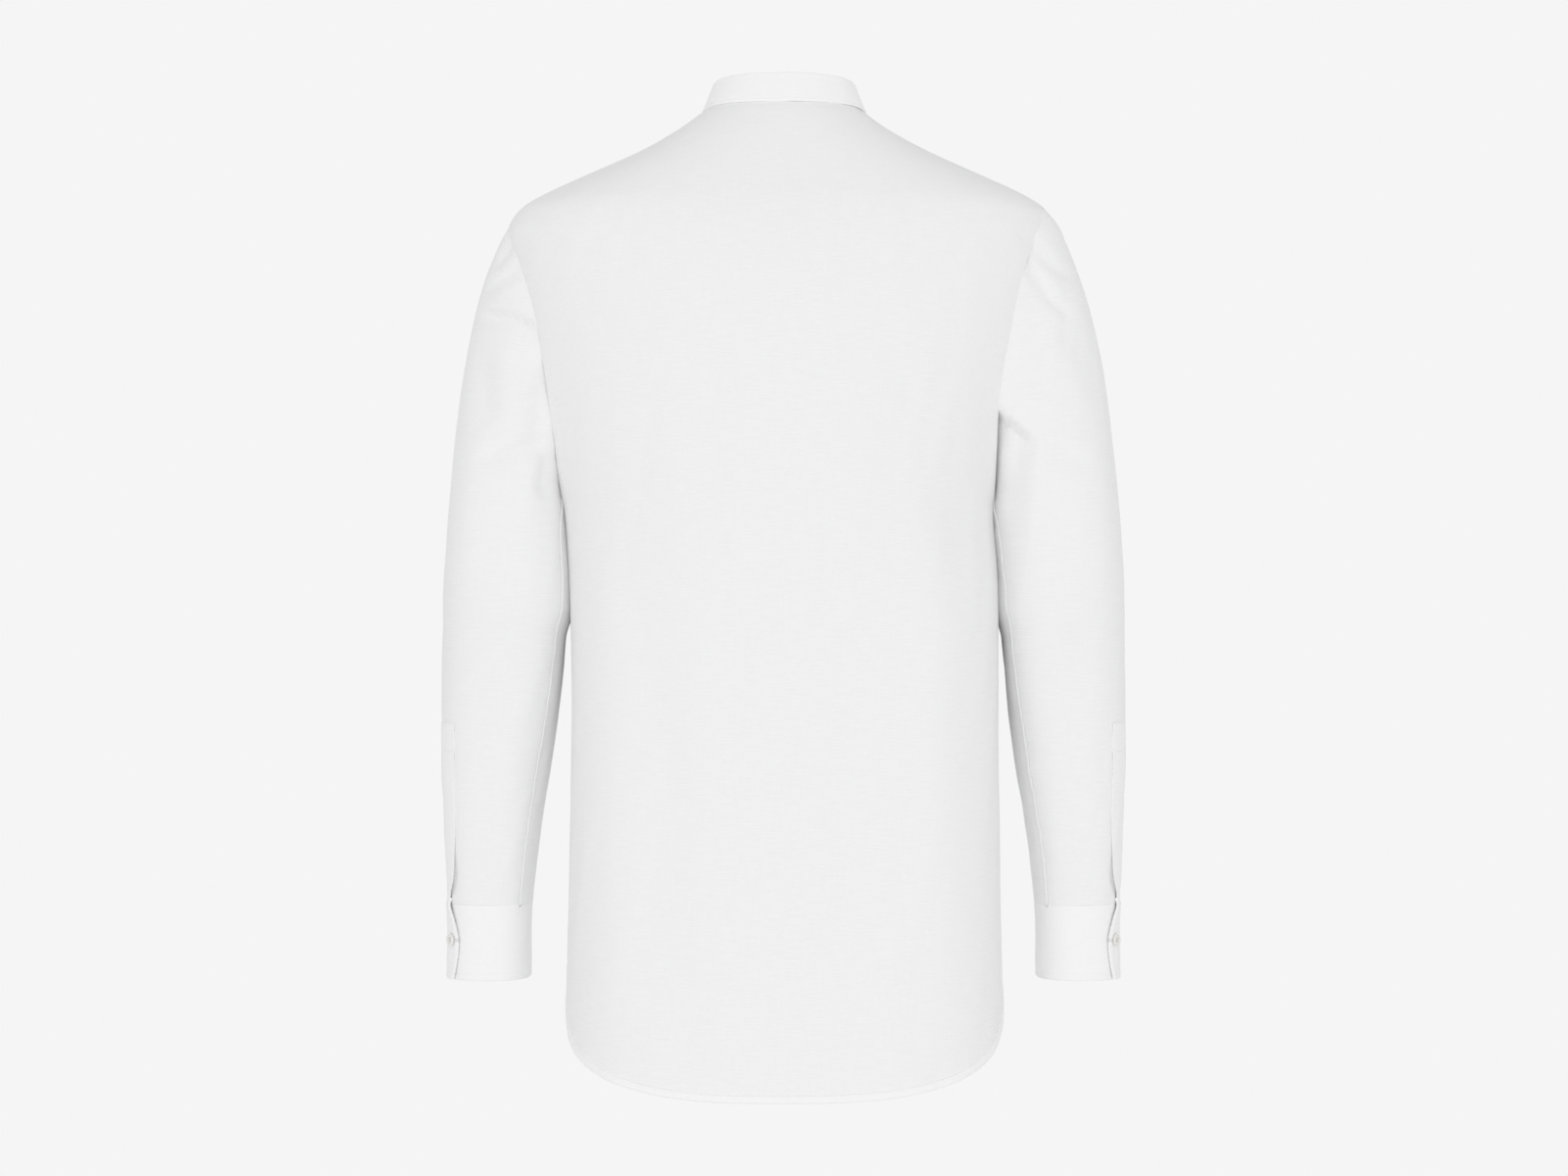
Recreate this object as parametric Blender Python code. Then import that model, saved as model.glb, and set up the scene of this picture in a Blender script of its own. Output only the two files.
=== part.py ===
"""A collarless long-sleeved shirt, filled out as worn, with every cut piece its own solid.

Units are metres, +Z is up, the shirt faces -Y and the wearer's left side is +X.  The origin is the middle
of the neck opening, level with the seam at the side of the neck.

The body is one smooth form made of level sections (TORSO).  The back and the two fronts are patches of that
form.  Each sleeve is a tube of level sections (SLEEVE) that grows out of the armhole.  The collar band, the
cuffs and the sleeve plackets are strips laid along those forms.
"""
from collections import namedtuple
from functools import lru_cache
from math import atan2, cos, degrees, pi, radians, sin, sqrt

import bmesh
import bpy
from mathutils import Vector

# ---- driving dimensions --------------------------------------------------------------------------
CLOTH = 0.0012                 # one layer of shirting, with its bulk as worn
BAND_CLOTH = 0.0022            # collar band: two layers and interlining
CUFF_CLOTH = 0.0020            # cuff: two layers and interlining
SEAM_GAP = 0.0003              # clearance between two pieces that are sewn together
LAP_GAP = 0.0006               # clearance between two pieces that lie on each other
SQUARENESS = 2.28              # exponent of the body's level sections, 2 would be an ellipse
SQUARER = 0.80                 # how much higher it is below the underarm
SQUARER_START = -0.31          # level where that starts, and the height over which it grows
SQUARER_FADE = 0.14

NECK_MIDDLE = 0.0050           # the neckline is an oval seen from above: its middle,
NECK_SIDE = 0.0670             # its reach to the side,
NECK_BACK = 0.0512             # to the back
NECK_FRONT = 0.0730            # and to the front
NECK_SQUARENESS = 2.3
SHOULDER_FORWARD = radians(14)  # how far the shoulder seam swings forward on its way to the neck
NECK_BLEND = 0.25              # height over which rows bend towards the neckline
HEM_SIDE = -0.720              # hem at the side seams
BACK_TAIL = 0.0963             # how far the back tail hangs below the side seams
FRONT_TAIL = 0.082             # the same for the fronts
TAIL_POWER = 3.55              # how square the tails are
HEM_BLEND = 0.30               # height over which rows bend towards the hem

FRONT_LAP_GAP = 0.0009         # clearance between the two fronts
FRONT_LAP = 0.017              # each front reaches this far past the middle
FRONT_RISE_WIDTH = 0.060       # width over which the upper front lifts off the form towards its edge
FOLD_RISE = 2.5                # how quickly a fold starts at its top and ends at its bottom
FOLD_END = 6.0

BAND_HEIGHT = 0.0255
BAND_LEAN_SIDE = 0.0095        # how far the top of the band leans in at the sides, and at front and back
BAND_LEAN_MIDDLE = 0.0058
BAND_CORNER = 0.013            # radius of the rounded end of the band
BAND_LAP = 0.016               # each end of the band reaches this far past the middle
BAND_SEAT = 0.0010             # the band's outer edge sits this far over the neckline
BAND_WIND_START = 6.0          # how many laps before the middle the band starts to wind outwards or inwards,
BAND_WIND = 5.0                # and over how many laps it does so

SLEEVE_RING = -0.42            # level below which the sleeve no longer feels the armhole
ARMHOLE_FADE = 0.78            # share of the way to that level over which the armhole's shape fades
SEAM_LOOK = 0.02               # share of that way used for the cloth's direction at the armhole
SEAM_LEAN = 0.6                # the sleeve's first ring leaves the seam along the cloth and outwards
SEAM_CLEAR = 1.6               # and this many seam gaps away
CUFF_SEAT = 0.0005             # clearance between the sleeve or placket and the cuff below it
PLACKET_SEAT = 0.0011          # clearance under the placket, which also covers the sleeve's facets
CUFF_WIND = 1.2                # turn over which the cuff climbs from under its own end to over it
CUFF_LAP = 0.75                # turn up to which its start lies fully under its end
CUFF_TOP = -0.6650
CUFF_BOTTOM = -0.7310

BUTTON_RADIUS = 0.0055
BUTTON_THICKNESS = 0.0024
FRONT_BUTTONS = 7
FRONT_BUTTON_TOP = -0.115
FRONT_BUTTON_PITCH = 0.088
CUFF_BUTTON_TURN = radians(35)
CUFF_BUTTON_LEVEL = -0.697
CUFF_BUTTON_SEAT = 0.0004      # more clearance where the cuff's end curves under its button

# ---- tables --------------------------------------------------------------------------------------
# Body: half width to the wearer's left and right, middle of the section, and depth behind and in front of
# that middle, at each level.
TorsoRow = namedtuple("TorsoRow", "z left right middle back front")
TORSO = [
    TorsoRow(0.012, 0.0470, 0.0470, 0.0160, 0.0300, 0.0240),
    TorsoRow(0.006, 0.0570, 0.0565, 0.0155, 0.0375, 0.0320),
    TorsoRow(0.000, 0.0668, 0.0655, 0.0150, 0.0450, 0.0400),
    TorsoRow(-0.016, 0.0893, 0.0880, 0.0140, 0.0560, 0.0530),
    TorsoRow(-0.034, 0.1212, 0.1214, 0.0115, 0.0680, 0.0640),
    TorsoRow(-0.054, 0.1668, 0.1668, 0.0080, 0.0810, 0.0720),
    TorsoRow(-0.068, 0.1985, 0.1988, 0.0045, 0.0910, 0.0775),
    TorsoRow(-0.080, 0.2203, 0.2188, 0.0020, 0.0990, 0.0840),
    TorsoRow(-0.0955, 0.2318, 0.2275, 0.0000, 0.1065, 0.0925),
    TorsoRow(-0.110, 0.2320, 0.2260, 0.0000, 0.1110, 0.1010),
    TorsoRow(-0.140, 0.2270, 0.2195, 0.0000, 0.1180, 0.1150),
    TorsoRow(-0.180, 0.2195, 0.2115, 0.0000, 0.1240, 0.1275),
    TorsoRow(-0.230, 0.2115, 0.2000, 0.0000, 0.1280, 0.1350),
    TorsoRow(-0.290, 0.1975, 0.1865, 0.0000, 0.1290, 0.1380),
    TorsoRow(-0.336, 0.1870, 0.1775, 0.0000, 0.1285, 0.1385),
    TorsoRow(-0.390, 0.1812, 0.1797, 0.0000, 0.1270, 0.1370),
    TorsoRow(-0.450, 0.1783, 0.1792, 0.0000, 0.1255, 0.1350),
    TorsoRow(-0.560, 0.1783, 0.1798, 0.0000, 0.1245, 0.1330),
    TorsoRow(-0.680, 0.1804, 0.1812, 0.0000, 0.1265, 0.1330),
    TorsoRow(-0.820, 0.1836, 0.1845, 0.0000, 0.1300, 0.1350),
]

# Sleeve: outer and inner edge seen from behind, middle and half depth, at each level.
SleeveRow = namedtuple("SleeveRow", "z outer_left outer_right inner_left inner_right middle depth")
SLEEVE = [
    SleeveRow(-0.0800, 0.2210, 0.2205, 0.1560, 0.1560, 0.000, 0.0550),
    SleeveRow(-0.0955, 0.2335, 0.2325, 0.1620, 0.1600, 0.000, 0.0570),
    SleeveRow(-0.1220, 0.2461, 0.2440, 0.1680, 0.1640, 0.000, 0.0590),
    SleeveRow(-0.1590, 0.2584, 0.2568, 0.1730, 0.1680, -0.001, 0.0610),
    SleeveRow(-0.2090, 0.2692, 0.2685, 0.1790, 0.1730, -0.002, 0.0630),
    SleeveRow(-0.2670, 0.2760, 0.2754, 0.1850, 0.1790, 0.003, 0.0650),
    SleeveRow(-0.3340, 0.2811, 0.2812, 0.1888, 0.1815, 0.009, 0.0655),
    SleeveRow(-0.3600, 0.2829, 0.2829, 0.1880, 0.1825, 0.010, 0.0655),
    SleeveRow(-0.3900, 0.2852, 0.2850, 0.1850, 0.1838, 0.009, 0.0650),
    SleeveRow(-0.4200, 0.2866, 0.2863, 0.1845, 0.1845, 0.004, 0.0640),
    SleeveRow(-0.4500, 0.2879, 0.2873, 0.1862, 0.1860, -0.003, 0.0625),
    SleeveRow(-0.5000, 0.2898, 0.2890, 0.1918, 0.1912, -0.011, 0.0590),
    SleeveRow(-0.5500, 0.2894, 0.2887, 0.1992, 0.1982, -0.017, 0.0545),
    SleeveRow(-0.6100, 0.2874, 0.2863, 0.2090, 0.2080, -0.020, 0.0480),
    SleeveRow(-0.6650, 0.2853, 0.2845, 0.2153, 0.2143, -0.022, 0.0415),
    SleeveRow(-0.7300, 0.2858, 0.2850, 0.2168, 0.2160, -0.023, 0.0400),
]

# Armhole, an oval seen from the side: level of the shoulder tip and of the underarm, reach of the oval to
# the back and to the front, and how full it is above its middle (1 is an ellipse, less is squarer).
Armhole = namedtuple("Armhole", "tip underarm back front fullness")
ARMHOLES = {
    "left": Armhole(-0.0955, -0.336, 0.055, 0.055, 1.0),
    "right": Armhole(-0.0805, -0.333, 0.066, 0.055, 0.62),
}

# Broad folds of the body: where they run (angle round from the back middle, top and bottom level), width as
# an angle, and depth.  A negative depth is a trough.
Fold = namedtuple("Fold", "angle_top angle_bottom top bottom width depth")
BODY_FOLDS = [
    Fold(48, 40, -0.18, -0.80, 13, -0.0030),
    Fold(24, 22, -0.30, -0.86, 12, 0.0020),
    Fold(-20, -26, -0.34, -0.86, 13, -0.0022),
    Fold(-44, -50, -0.16, -0.74, 12, 0.0024),
    Fold(128, 136, -0.20, -0.84, 12, -0.0026),
    Fold(-126, -134, -0.22, -0.84, 13, -0.0024),
]

# Free edge of the placket strip and end of the cuff: angle round the sleeve from its outer edge towards the
# back, and how far the edge stands off, at each level.
EdgeRow = namedtuple("EdgeRow", "z angle lift")
LAP_EDGE = [
    EdgeRow(-0.500, 46, 0.0000),
    EdgeRow(-0.600, 46, 0.0004),
    EdgeRow(-0.625, 44, 0.0018),
    EdgeRow(-0.645, 39, 0.0036),
    EdgeRow(-0.665, 29, 0.0048),
    EdgeRow(-0.680, 41, 0.0022),
    EdgeRow(-0.697, 49, 0.0006),
    EdgeRow(-0.715, 46, 0.0004),
    EdgeRow(-0.730, 40, 0.0010),
]
PLACKET_TOP = -0.513
PLACKET_WIDTH = 0.024
CUFF_UNDERLAP = -8             # angle at which the hidden end of the cuff stops
FREE_EDGE_TURN = 0.7           # how far back from its end the cuff starts to stand off

# Grid sizes: intervals up the body below, along and above the armhole, across each panel and up each sleeve.
BODY_ROWS = 8
ARMHOLE_ROWS = 10
SHOULDER_ROWS = 6
SHOULDER_SPACING = 1.3         # more than 1 sets the rows closer near the shoulder tip
BACK_COLUMNS = 22
FRONT_COLUMNS = 11
SLEEVE_UPPER_ROWS = 8
SLEEVE_LOWER_ROWS = 6
BAND_COLUMNS = 34
BAND_ROWS = 3
CUFF_COLUMNS = 26
CUFF_ROWS = 4
PLACKET_ROWS = 8
PLACKET_COLUMNS = 3
BUTTON_SIDES = 12


# ---- curves through tables -----------------------------------------------------------------------
def read(table, column, z):
    """The value of a column at level z, on a smooth curve through the rows (highest row first)."""
    values = [(row.z, getattr(row, column)) for row in table]
    if z >= values[0][0]:
        return values[0][1]
    if z <= values[-1][0]:
        return values[-1][1]
    i = next(k for k in range(len(values) - 1) if values[k + 1][0] <= z)

    def slope(k):
        a, b = max(k - 1, 0), min(k + 1, len(values) - 1)
        return (values[b][1] - values[a][1]) / (values[b][0] - values[a][0])

    (z0, v0), (z1, v1) = values[i], values[i + 1]
    span = z1 - z0
    t = (z - z0) / span
    return ((2 * t**3 - 3 * t**2 + 1) * v0 + (t**3 - 2 * t**2 + t) * span * slope(i)
            + (3 * t**2 - 2 * t**3) * v1 + (t**3 - t**2) * span * slope(i + 1))


def smooth(t):
    """A soft step from 0 to 1."""
    t = min(max(t, 0.0), 1.0)
    return t * t * (3 - 2 * t)


# ---- the body's form -----------------------------------------------------------------------------
def squareness(z):
    """Exponent of the body's section at a level."""
    return SQUARENESS + SQUARER * smooth((SQUARER_START - z) / SQUARER_FADE)


def fold_height(angle, z):
    """How far the broad folds lift the cloth at an angle (degrees round from the back middle)."""
    lift = 0.0
    for fold in BODY_FOLDS:
        along = (fold.top - z) / (fold.top - fold.bottom)
        if not 0 < along < 1:
            continue
        middle = fold.angle_top + (fold.angle_bottom - fold.angle_top) * along
        away = abs(angle - middle) / fold.width
        if away < 1:
            ends = smooth(along * FOLD_RISE) * smooth((1 - along) * FOLD_END)
            lift += fold.depth * (0.5 + 0.5 * cos(pi * away)) * ends
    return lift


def form_reach(angle, z):
    """Reach of the body's level section at an angle from the back middle."""
    half = read(TORSO, "left" if sin(angle) >= 0 else "right", z)
    depth = read(TORSO, "back" if cos(angle) >= 0 else "front", z)
    power = squareness(z)
    return ((abs(sin(angle)) / half)**power + (abs(cos(angle)) / depth)**power)**(-1 / power)


def body_point(angle, z, out=0.0):
    """The point of the body's form at an angle (radians from the back middle, + to the left) and level."""
    reach = form_reach(angle, z) + out + fold_height(degrees(angle), z)
    return Vector((reach * sin(angle), read(TORSO, "middle", z) + reach * cos(angle), z))


@lru_cache(maxsize=None)
def neck_level(angle):
    """Level of the neckline, where the form meets an upright oval."""
    low, high = -0.1, TORSO[0].z
    for _ in range(24):
        z = (low + high) / 2
        x, y, _z = body_point(angle, z)
        y -= NECK_MIDDLE
        across, along = abs(x) / NECK_SIDE, abs(y) / (NECK_BACK if y > 0 else NECK_FRONT)
        outside = across**NECK_SQUARENESS + along**NECK_SQUARENESS > 1
        low, high = (z, high) if outside else (low, z)
    return (low + high) / 2


def hem_level(angle):
    """Level of the hem against the side seams."""
    tail = BACK_TAIL if cos(angle) > 0 else FRONT_TAIL
    across = min(abs(atan2(sin(angle), abs(cos(angle)))) / (pi / 2), 1.0)
    return -tail * (1 - across**TAIL_POWER)


def row_level(side_level, angle):
    """Level of a row of the cloth, which bends towards the neckline and the hem as it nears them."""
    towards_neck = smooth(1 + side_level / NECK_BLEND)
    towards_hem = smooth(1 - (side_level - HEM_SIDE) / HEM_BLEND)
    return side_level + neck_level(angle) * towards_neck + hem_level(angle) * towards_hem


# ---- the armhole ---------------------------------------------------------------------------------
def armhole_level(side, turn):
    """Level of the armhole at a turn from the shoulder tip (0) to the underarm (pi)."""
    hole = ARMHOLES[side]
    return hole.tip + (hole.underarm - hole.tip) * (1 - cos(turn)) / 2


def armhole_angle(side, turn, face):
    """Angle round the body of the armhole at that turn, on its back or front edge."""
    hole = ARMHOLES[side]
    z = armhole_level(side, turn)
    power = hole.fullness if turn < pi / 2 else 1.0
    reach = (hole.back if face == "back" else hole.front) * max(sin(turn), 0.0)**power
    depth, half = read(TORSO, face, z), read(TORSO, side, z)
    across = half * (1 - (reach / depth)**squareness(z))**(1 / squareness(z))
    angle = atan2(across, reach if face == "back" else -reach)
    return angle if side == "left" else -angle


def side_rows(side):
    """Rows up the side of the body: (level at the side, turn in the armhole or None)."""
    hole = ARMHOLES[side]
    rows = [(HEM_SIDE + (hole.underarm - HEM_SIDE) * k / BODY_ROWS, None) for k in range(BODY_ROWS)]
    for k in range(ARMHOLE_ROWS + 1):
        turn = pi * (1 - k / ARMHOLE_ROWS)
        rows.append((armhole_level(side, turn), turn))
    for k in range(1, SHOULDER_ROWS + 1):
        rows.append((hole.tip * (1 - (k / SHOULDER_ROWS)**SHOULDER_SPACING), None))
    return rows


def side_angle(side, level, turn, face):
    """Angle of the panel's side edge: the side or shoulder seam, or the edge of the armhole."""
    if turn is not None and 0.0 < turn < pi:
        return armhole_angle(side, turn, face)
    forward = SHOULDER_FORWARD * smooth(1 - level / ARMHOLES[side].tip)
    return (pi / 2 + forward) * (1 if side == "left" else -1)


# ---- making objects ------------------------------------------------------------------------------
def finish(name, colour, roughness):
    """A plain finish for one piece."""
    material = bpy.data.materials.new(name)
    material.use_nodes = True
    shader = material.node_tree.nodes["Principled BSDF"]
    shader.inputs["Base Color"].default_value = (*colour, 1.0)
    shader.inputs["Roughness"].default_value = roughness
    shader.inputs["Metallic"].default_value = 0.0
    return material


SHIRTING = (0.86, 0.86, 0.85)
DOUBLED = (0.92, 0.92, 0.91)
SHELL = (0.85, 0.81, 0.72)


def add_object(name, points, faces, colour, roughness):
    mesh = bpy.data.meshes.new(name)
    mesh.from_pydata(points, [], faces)
    mesh.update()
    piece = bpy.data.objects.new(name, mesh)
    bpy.context.scene.collection.objects.link(piece)
    mesh.materials.append(finish(name, colour, roughness))
    return piece


def sample(surface, u, v, axis, step=0.0005):
    """A point of surface(u, v) and its normal there, facing away from an upright axis at (x, y)."""
    point = surface(u, v)
    across = surface(u + step, v) - surface(u - step, v)
    along = surface(u, v + step) - surface(u, v - step)
    normal = across.cross(along).normalized()
    if normal.dot(point - Vector((*axis, point.z))) < 0:
        normal.negate()
    return point, normal


def cloth(name, grid, thickness, colour, closed=False):
    """A wall of cloth on a grid of (point, normal), rows of equal length.  The grid is its outer face."""
    columns = len(grid[0])
    outer = [point for row in grid for point, normal in row]
    inner = [point - normal * thickness for row in grid for point, normal in row]
    total = len(outer)
    spans = columns if closed else columns - 1
    faces = []
    for r in range(len(grid) - 1):
        for c in range(spans):
            near, far = r * columns + c, r * columns + (c + 1) % columns
            for face in ((near, far, far + columns), (near, far + columns, near + columns)):
                faces += [face, tuple(k + total for k in face[::-1])]
    last = (len(grid) - 1) * columns
    for c in range(spans):
        after = (c + 1) % columns
        faces.append((after, c, c + total, after + total))
        faces.append((last + c, last + after, last + after + total, last + c + total))
    if not closed:
        for near in range(0, last, columns):
            far = near + columns
            faces.append((near, far, far + total, near + total))
            near, far = near + columns - 1, far + columns - 1
            faces.append((far, near, near + total, far + total))
    piece = add_object(name, outer + inner, faces, colour, 0.85)
    face_outwards(piece.data)
    piece.data.shade_smooth()
    piece.data.set_sharp_from_angle(angle=radians(60))
    return piece


def face_outwards(mesh):
    """Turn every face of a closed mesh outwards."""
    work = bmesh.new()
    work.from_mesh(mesh)
    bmesh.ops.recalc_face_normals(work, faces=work.faces)
    work.to_mesh(mesh)
    work.free()


def button(name, point, normal):
    """A round shirt button with a raised rim, lying on the cloth at a point of its face."""
    rings = [(0.0, 0.45), (0.60, 0.45), (0.75, 1.0), (1.0, 0.6), (0.80, 0.0), (0.0, 0.0)]
    side = Vector((0, 0, 1)).cross(normal).normalized()
    up = normal.cross(side)
    base = point + normal * SEAM_GAP
    points, loops = [], []
    for radius, height in rings:
        sides = BUTTON_SIDES if radius else 1
        loops.append(range(len(points), len(points) + sides))
        for k in range(sides):
            turn = 2 * pi * k / BUTTON_SIDES
            points.append(base + normal * (height * BUTTON_THICKNESS)
                          + (side * cos(turn) + up * sin(turn)) * (radius * BUTTON_RADIUS))
    faces = []
    for upper, lower in zip(loops, loops[1:]):
        for k in range(BUTTON_SIDES):
            after = (k + 1) % BUTTON_SIDES
            if len(upper) == 1:
                faces.append((upper[0], lower[k], lower[after]))
            elif len(lower) == 1:
                faces.append((upper[after], upper[k], lower[0]))
            else:
                faces.append((upper[k], lower[k], lower[after], upper[after]))
    piece = add_object(name, points, faces, SHELL, 0.35)
    face_outwards(piece.data)
    return piece


# ---- body panels ---------------------------------------------------------------------------------
BODY_AXIS = (0.0, 0.0)


def body_sample(angle, z, out=0.0):
    """Point and normal of the body's form."""
    return sample(lambda u, v: body_point(u, v, out), angle, z, BODY_AXIS)


def back_panel():
    grid = []
    for (left_z, left_turn), (right_z, right_turn) in zip(side_rows("left"), side_rows("right")):
        inset = SEAM_GAP / 2 / read(TORSO, "left", left_z)
        start = side_angle("right", right_z, right_turn, "back") + inset
        end = side_angle("left", left_z, left_turn, "back") - inset
        row = []
        for c in range(BACK_COLUMNS + 1):
            share = c / BACK_COLUMNS
            angle = start + (end - start) * share
            level = right_z + (left_z - right_z) * smooth(share)
            row.append(body_sample(angle, row_level(level, angle)))
        grid.append(row)
    return cloth("back", grid, CLOTH, SHIRTING)


def front_panel(side):
    """One front.  The left one lies on the right one where they lap."""
    sign = 1 if side == "left" else -1
    lap_lift = CLOTH + FRONT_LAP_GAP if side == "left" else 0.0
    grid = []
    for level, turn in side_rows(side):
        depth = read(TORSO, "front", row_level(level, pi))
        start = sign * side_angle(side, level, turn, "front") + SEAM_GAP / 2 / read(TORSO, side, level)
        end = pi + FRONT_LAP / depth
        row = []
        for c in range(FRONT_COLUMNS + 1):
            angle = start + (end - start) * c / FRONT_COLUMNS
            from_edge = (end - angle) * depth
            lift = lap_lift * smooth((FRONT_LAP * 2 + FRONT_RISE_WIDTH - from_edge) / FRONT_RISE_WIDTH)
            row.append(body_sample(sign * angle, row_level(level, sign * angle), lift))
        grid.append(row)
    return cloth("front_" + side, grid, CLOTH, SHIRTING)


# ---- collar band ---------------------------------------------------------------------------------
def band_point(angle, up, out=0.0):
    """Outer face of the collar band: angle round the neck and height above its seam."""
    share = up / BAND_HEIGHT
    lean = BAND_LEAN_MIDDLE + (BAND_LEAN_SIDE - BAND_LEAN_MIDDLE) * sin(angle)**2
    seam = body_point(angle, row_level(0.0, angle), out)
    inward = Vector((-sin(angle), -cos(angle), 0.0))
    rise = sqrt(BAND_HEIGHT**2 - lean**2)
    return seam + inward * (lean * share) + Vector((0, 0, rise * share + BAND_SEAT))


def band_end_angle():
    return pi + BAND_LAP / NECK_FRONT


def band_lift(angle):
    """The band winds outwards a little, so that its left end lies on its right end."""
    lap = band_end_angle() - pi
    apart = (BAND_CLOTH + LAP_GAP) / 2
    if angle > 0:
        return apart * smooth((angle - (pi - BAND_WIND_START * lap)) / (BAND_WIND * lap))
    return -apart * smooth((-angle - (pi - BAND_WIND_START * lap)) / (BAND_WIND * lap))


def collar_band():
    end = band_end_angle()
    angles = [end * (2 * c / BAND_COLUMNS - 1) for c in range(BAND_COLUMNS + 1)]
    grid = [[] for _ in range(BAND_ROWS + 1)]
    for angle in angles:
        from_end = (end - abs(angle)) * NECK_FRONT
        into_corner = max(BAND_CORNER - from_end, 0.0)
        cut = BAND_CORNER - sqrt(BAND_CORNER**2 - into_corner**2)
        for r in range(BAND_ROWS + 1):
            up = (BAND_HEIGHT - cut) * r / BAND_ROWS
            lift = band_lift(angle) + BAND_CLOTH - CLOTH
            grid[r].append(sample(lambda u, v: band_point(u, v, lift), angle, up, BODY_AXIS))
    return cloth("collar_band", grid, BAND_CLOTH, DOUBLED)


# ---- sleeves -------------------------------------------------------------------------------------
def tube_point(side, turn, z, out=0.0):
    """The sleeve's tube at a turn from its outer edge (0) over the back (pi/2), and level."""
    outer, inner = read(SLEEVE, "outer_" + side, z), read(SLEEVE, "inner_" + side, z)
    middle, depth = read(SLEEVE, "middle", z), read(SLEEVE, "depth", z)
    across = (outer + inner) / 2 + (outer - inner) / 2 * cos(turn) + out * cos(turn)
    x = across if side == "left" else -across
    return Vector((x, middle + (depth + out) * sin(turn), z))


def armhole_point(side, turn):
    """The armhole's seam on the body, at a turn measured like the sleeve's."""
    face = "back" if turn <= pi else "front"
    half_turn = turn if turn <= pi else 2 * pi - turn
    level = armhole_level(side, half_turn)
    angle = side_angle(side, level, half_turn, face)
    return body_point(angle, row_level(level, angle))


def sleeve_point(side, turn, down):
    """The sleeve above SLEEVE_RING: down is 0 at the armhole and 1 at that level."""
    seam = armhole_point(side, turn)
    z = seam.z + (SLEEVE_RING - seam.z) * down
    pull = seam - tube_point(side, turn, seam.z)
    pull.z = 0.0
    fade = max(1 - down / ARMHOLE_FADE, 0.0)**2
    return tube_point(side, turn, z) + pull * fade


def sleeve_axis(side, z):
    """Middle of the sleeve at a level, as (x, y)."""
    x = (read(SLEEVE, "outer_" + side, z) + read(SLEEVE, "inner_" + side, z)) / 2
    return (x if side == "left" else -x), read(SLEEVE, "middle", z)


def tube_sample(side, turn, z, out=0.0):
    """Point and normal of the sleeve's tube."""
    return sample(lambda u, v: tube_point(side, u, v, out), turn, z, sleeve_axis(side, z))


def sleeve(side):
    turns = [2 * pi * k / (2 * ARMHOLE_ROWS) for k in range(2 * ARMHOLE_ROWS)]
    grid = []
    for r in range(SLEEVE_UPPER_ROWS):
        down = r / SLEEVE_UPPER_ROWS
        row = []
        for turn in turns:
            point, normal = sample(lambda u, v: sleeve_point(side, u, v), turn, max(down, SEAM_LOOK),
                                   sleeve_axis(side, SLEEVE_RING))
            row.append((point if r else start_of_sleeve(side, turn), normal))
        grid.append(row)
    for r in range(SLEEVE_LOWER_ROWS + 1):
        z = SLEEVE_RING + (CUFF_TOP + CUFF_SEAT - SLEEVE_RING) * r / SLEEVE_LOWER_ROWS
        grid.append([tube_sample(side, turn, z) for turn in turns])
    return cloth("sleeve_" + side, grid, CLOTH, SHIRTING, closed=True)


def start_of_sleeve(side, turn):
    """First ring of the sleeve, a seam's gap clear of the body panels."""
    seam = armhole_point(side, turn)
    along = (sleeve_point(side, turn, SEAM_LOOK) - seam).normalized()
    outward = Vector((1 if side == "left" else -1, 0, 0))
    return seam + (along + outward * SEAM_LEAN) * (SEAM_GAP * SEAM_CLEAR)


# ---- cuffs and plackets --------------------------------------------------------------------------
def cuff_end(z):
    """Turn at which the lapping end of the cuff stops."""
    return 2 * pi + radians(read(LAP_EDGE, "angle", z))


def cuff_out(turn, z):
    """How far the cuff's face lies outside the sleeve's tube: it winds outwards, and its end stands off."""
    apart = (CUFF_CLOTH + LAP_GAP) / 2
    over = smooth((turn - (2 * pi - CUFF_WIND)) / CUFF_WIND)
    under = smooth((CUFF_WIND + CUFF_LAP - turn) / CUFF_WIND)
    stand = smooth((turn - cuff_end(z) + FREE_EDGE_TURN) / FREE_EDGE_TURN)
    return apart * (over - under) + read(LAP_EDGE, "lift", z) * stand + CUFF_CLOTH - CLOTH


def cuff(side):
    """A strip that starts under its own end, runs round the wrist and ends on the sleeve's outer back."""
    start = radians(CUFF_UNDERLAP)
    grid = []
    for r in range(CUFF_ROWS + 1):
        z = CUFF_BOTTOM + (CUFF_TOP - CUFF_BOTTOM) * r / CUFF_ROWS
        row = []
        for c in range(CUFF_COLUMNS + 1):
            turn = start + (cuff_end(z) - start) * c / CUFF_COLUMNS
            row.append(tube_sample(side, turn, z, cuff_out(turn, z)))
        grid.append(row)
    return cloth("cuff_" + side, grid, CUFF_CLOTH, DOUBLED)


def placket(side):
    """The overlap strip beside the cuff opening, lying on the sleeve."""
    grid = []
    for r in range(PLACKET_ROWS + 1):
        z = CUFF_TOP + CUFF_SEAT + (PLACKET_TOP - CUFF_TOP - CUFF_SEAT) * r / PLACKET_ROWS
        edge = radians(read(LAP_EDGE, "angle", z))
        lift = read(LAP_EDGE, "lift", z)
        radius = (read(SLEEVE, "outer_" + side, z) - read(SLEEVE, "inner_" + side, z)) / 2
        row = []
        for c in range(PLACKET_COLUMNS + 1):
            share = c / PLACKET_COLUMNS
            turn = edge - PLACKET_WIDTH / radius * (1 - share)
            row.append(tube_sample(side, turn, z, CLOTH + PLACKET_SEAT + lift * share**2))
        grid.append(row)
    return cloth("sleeve_placket_" + side, grid, CLOTH, DOUBLED)


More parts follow.
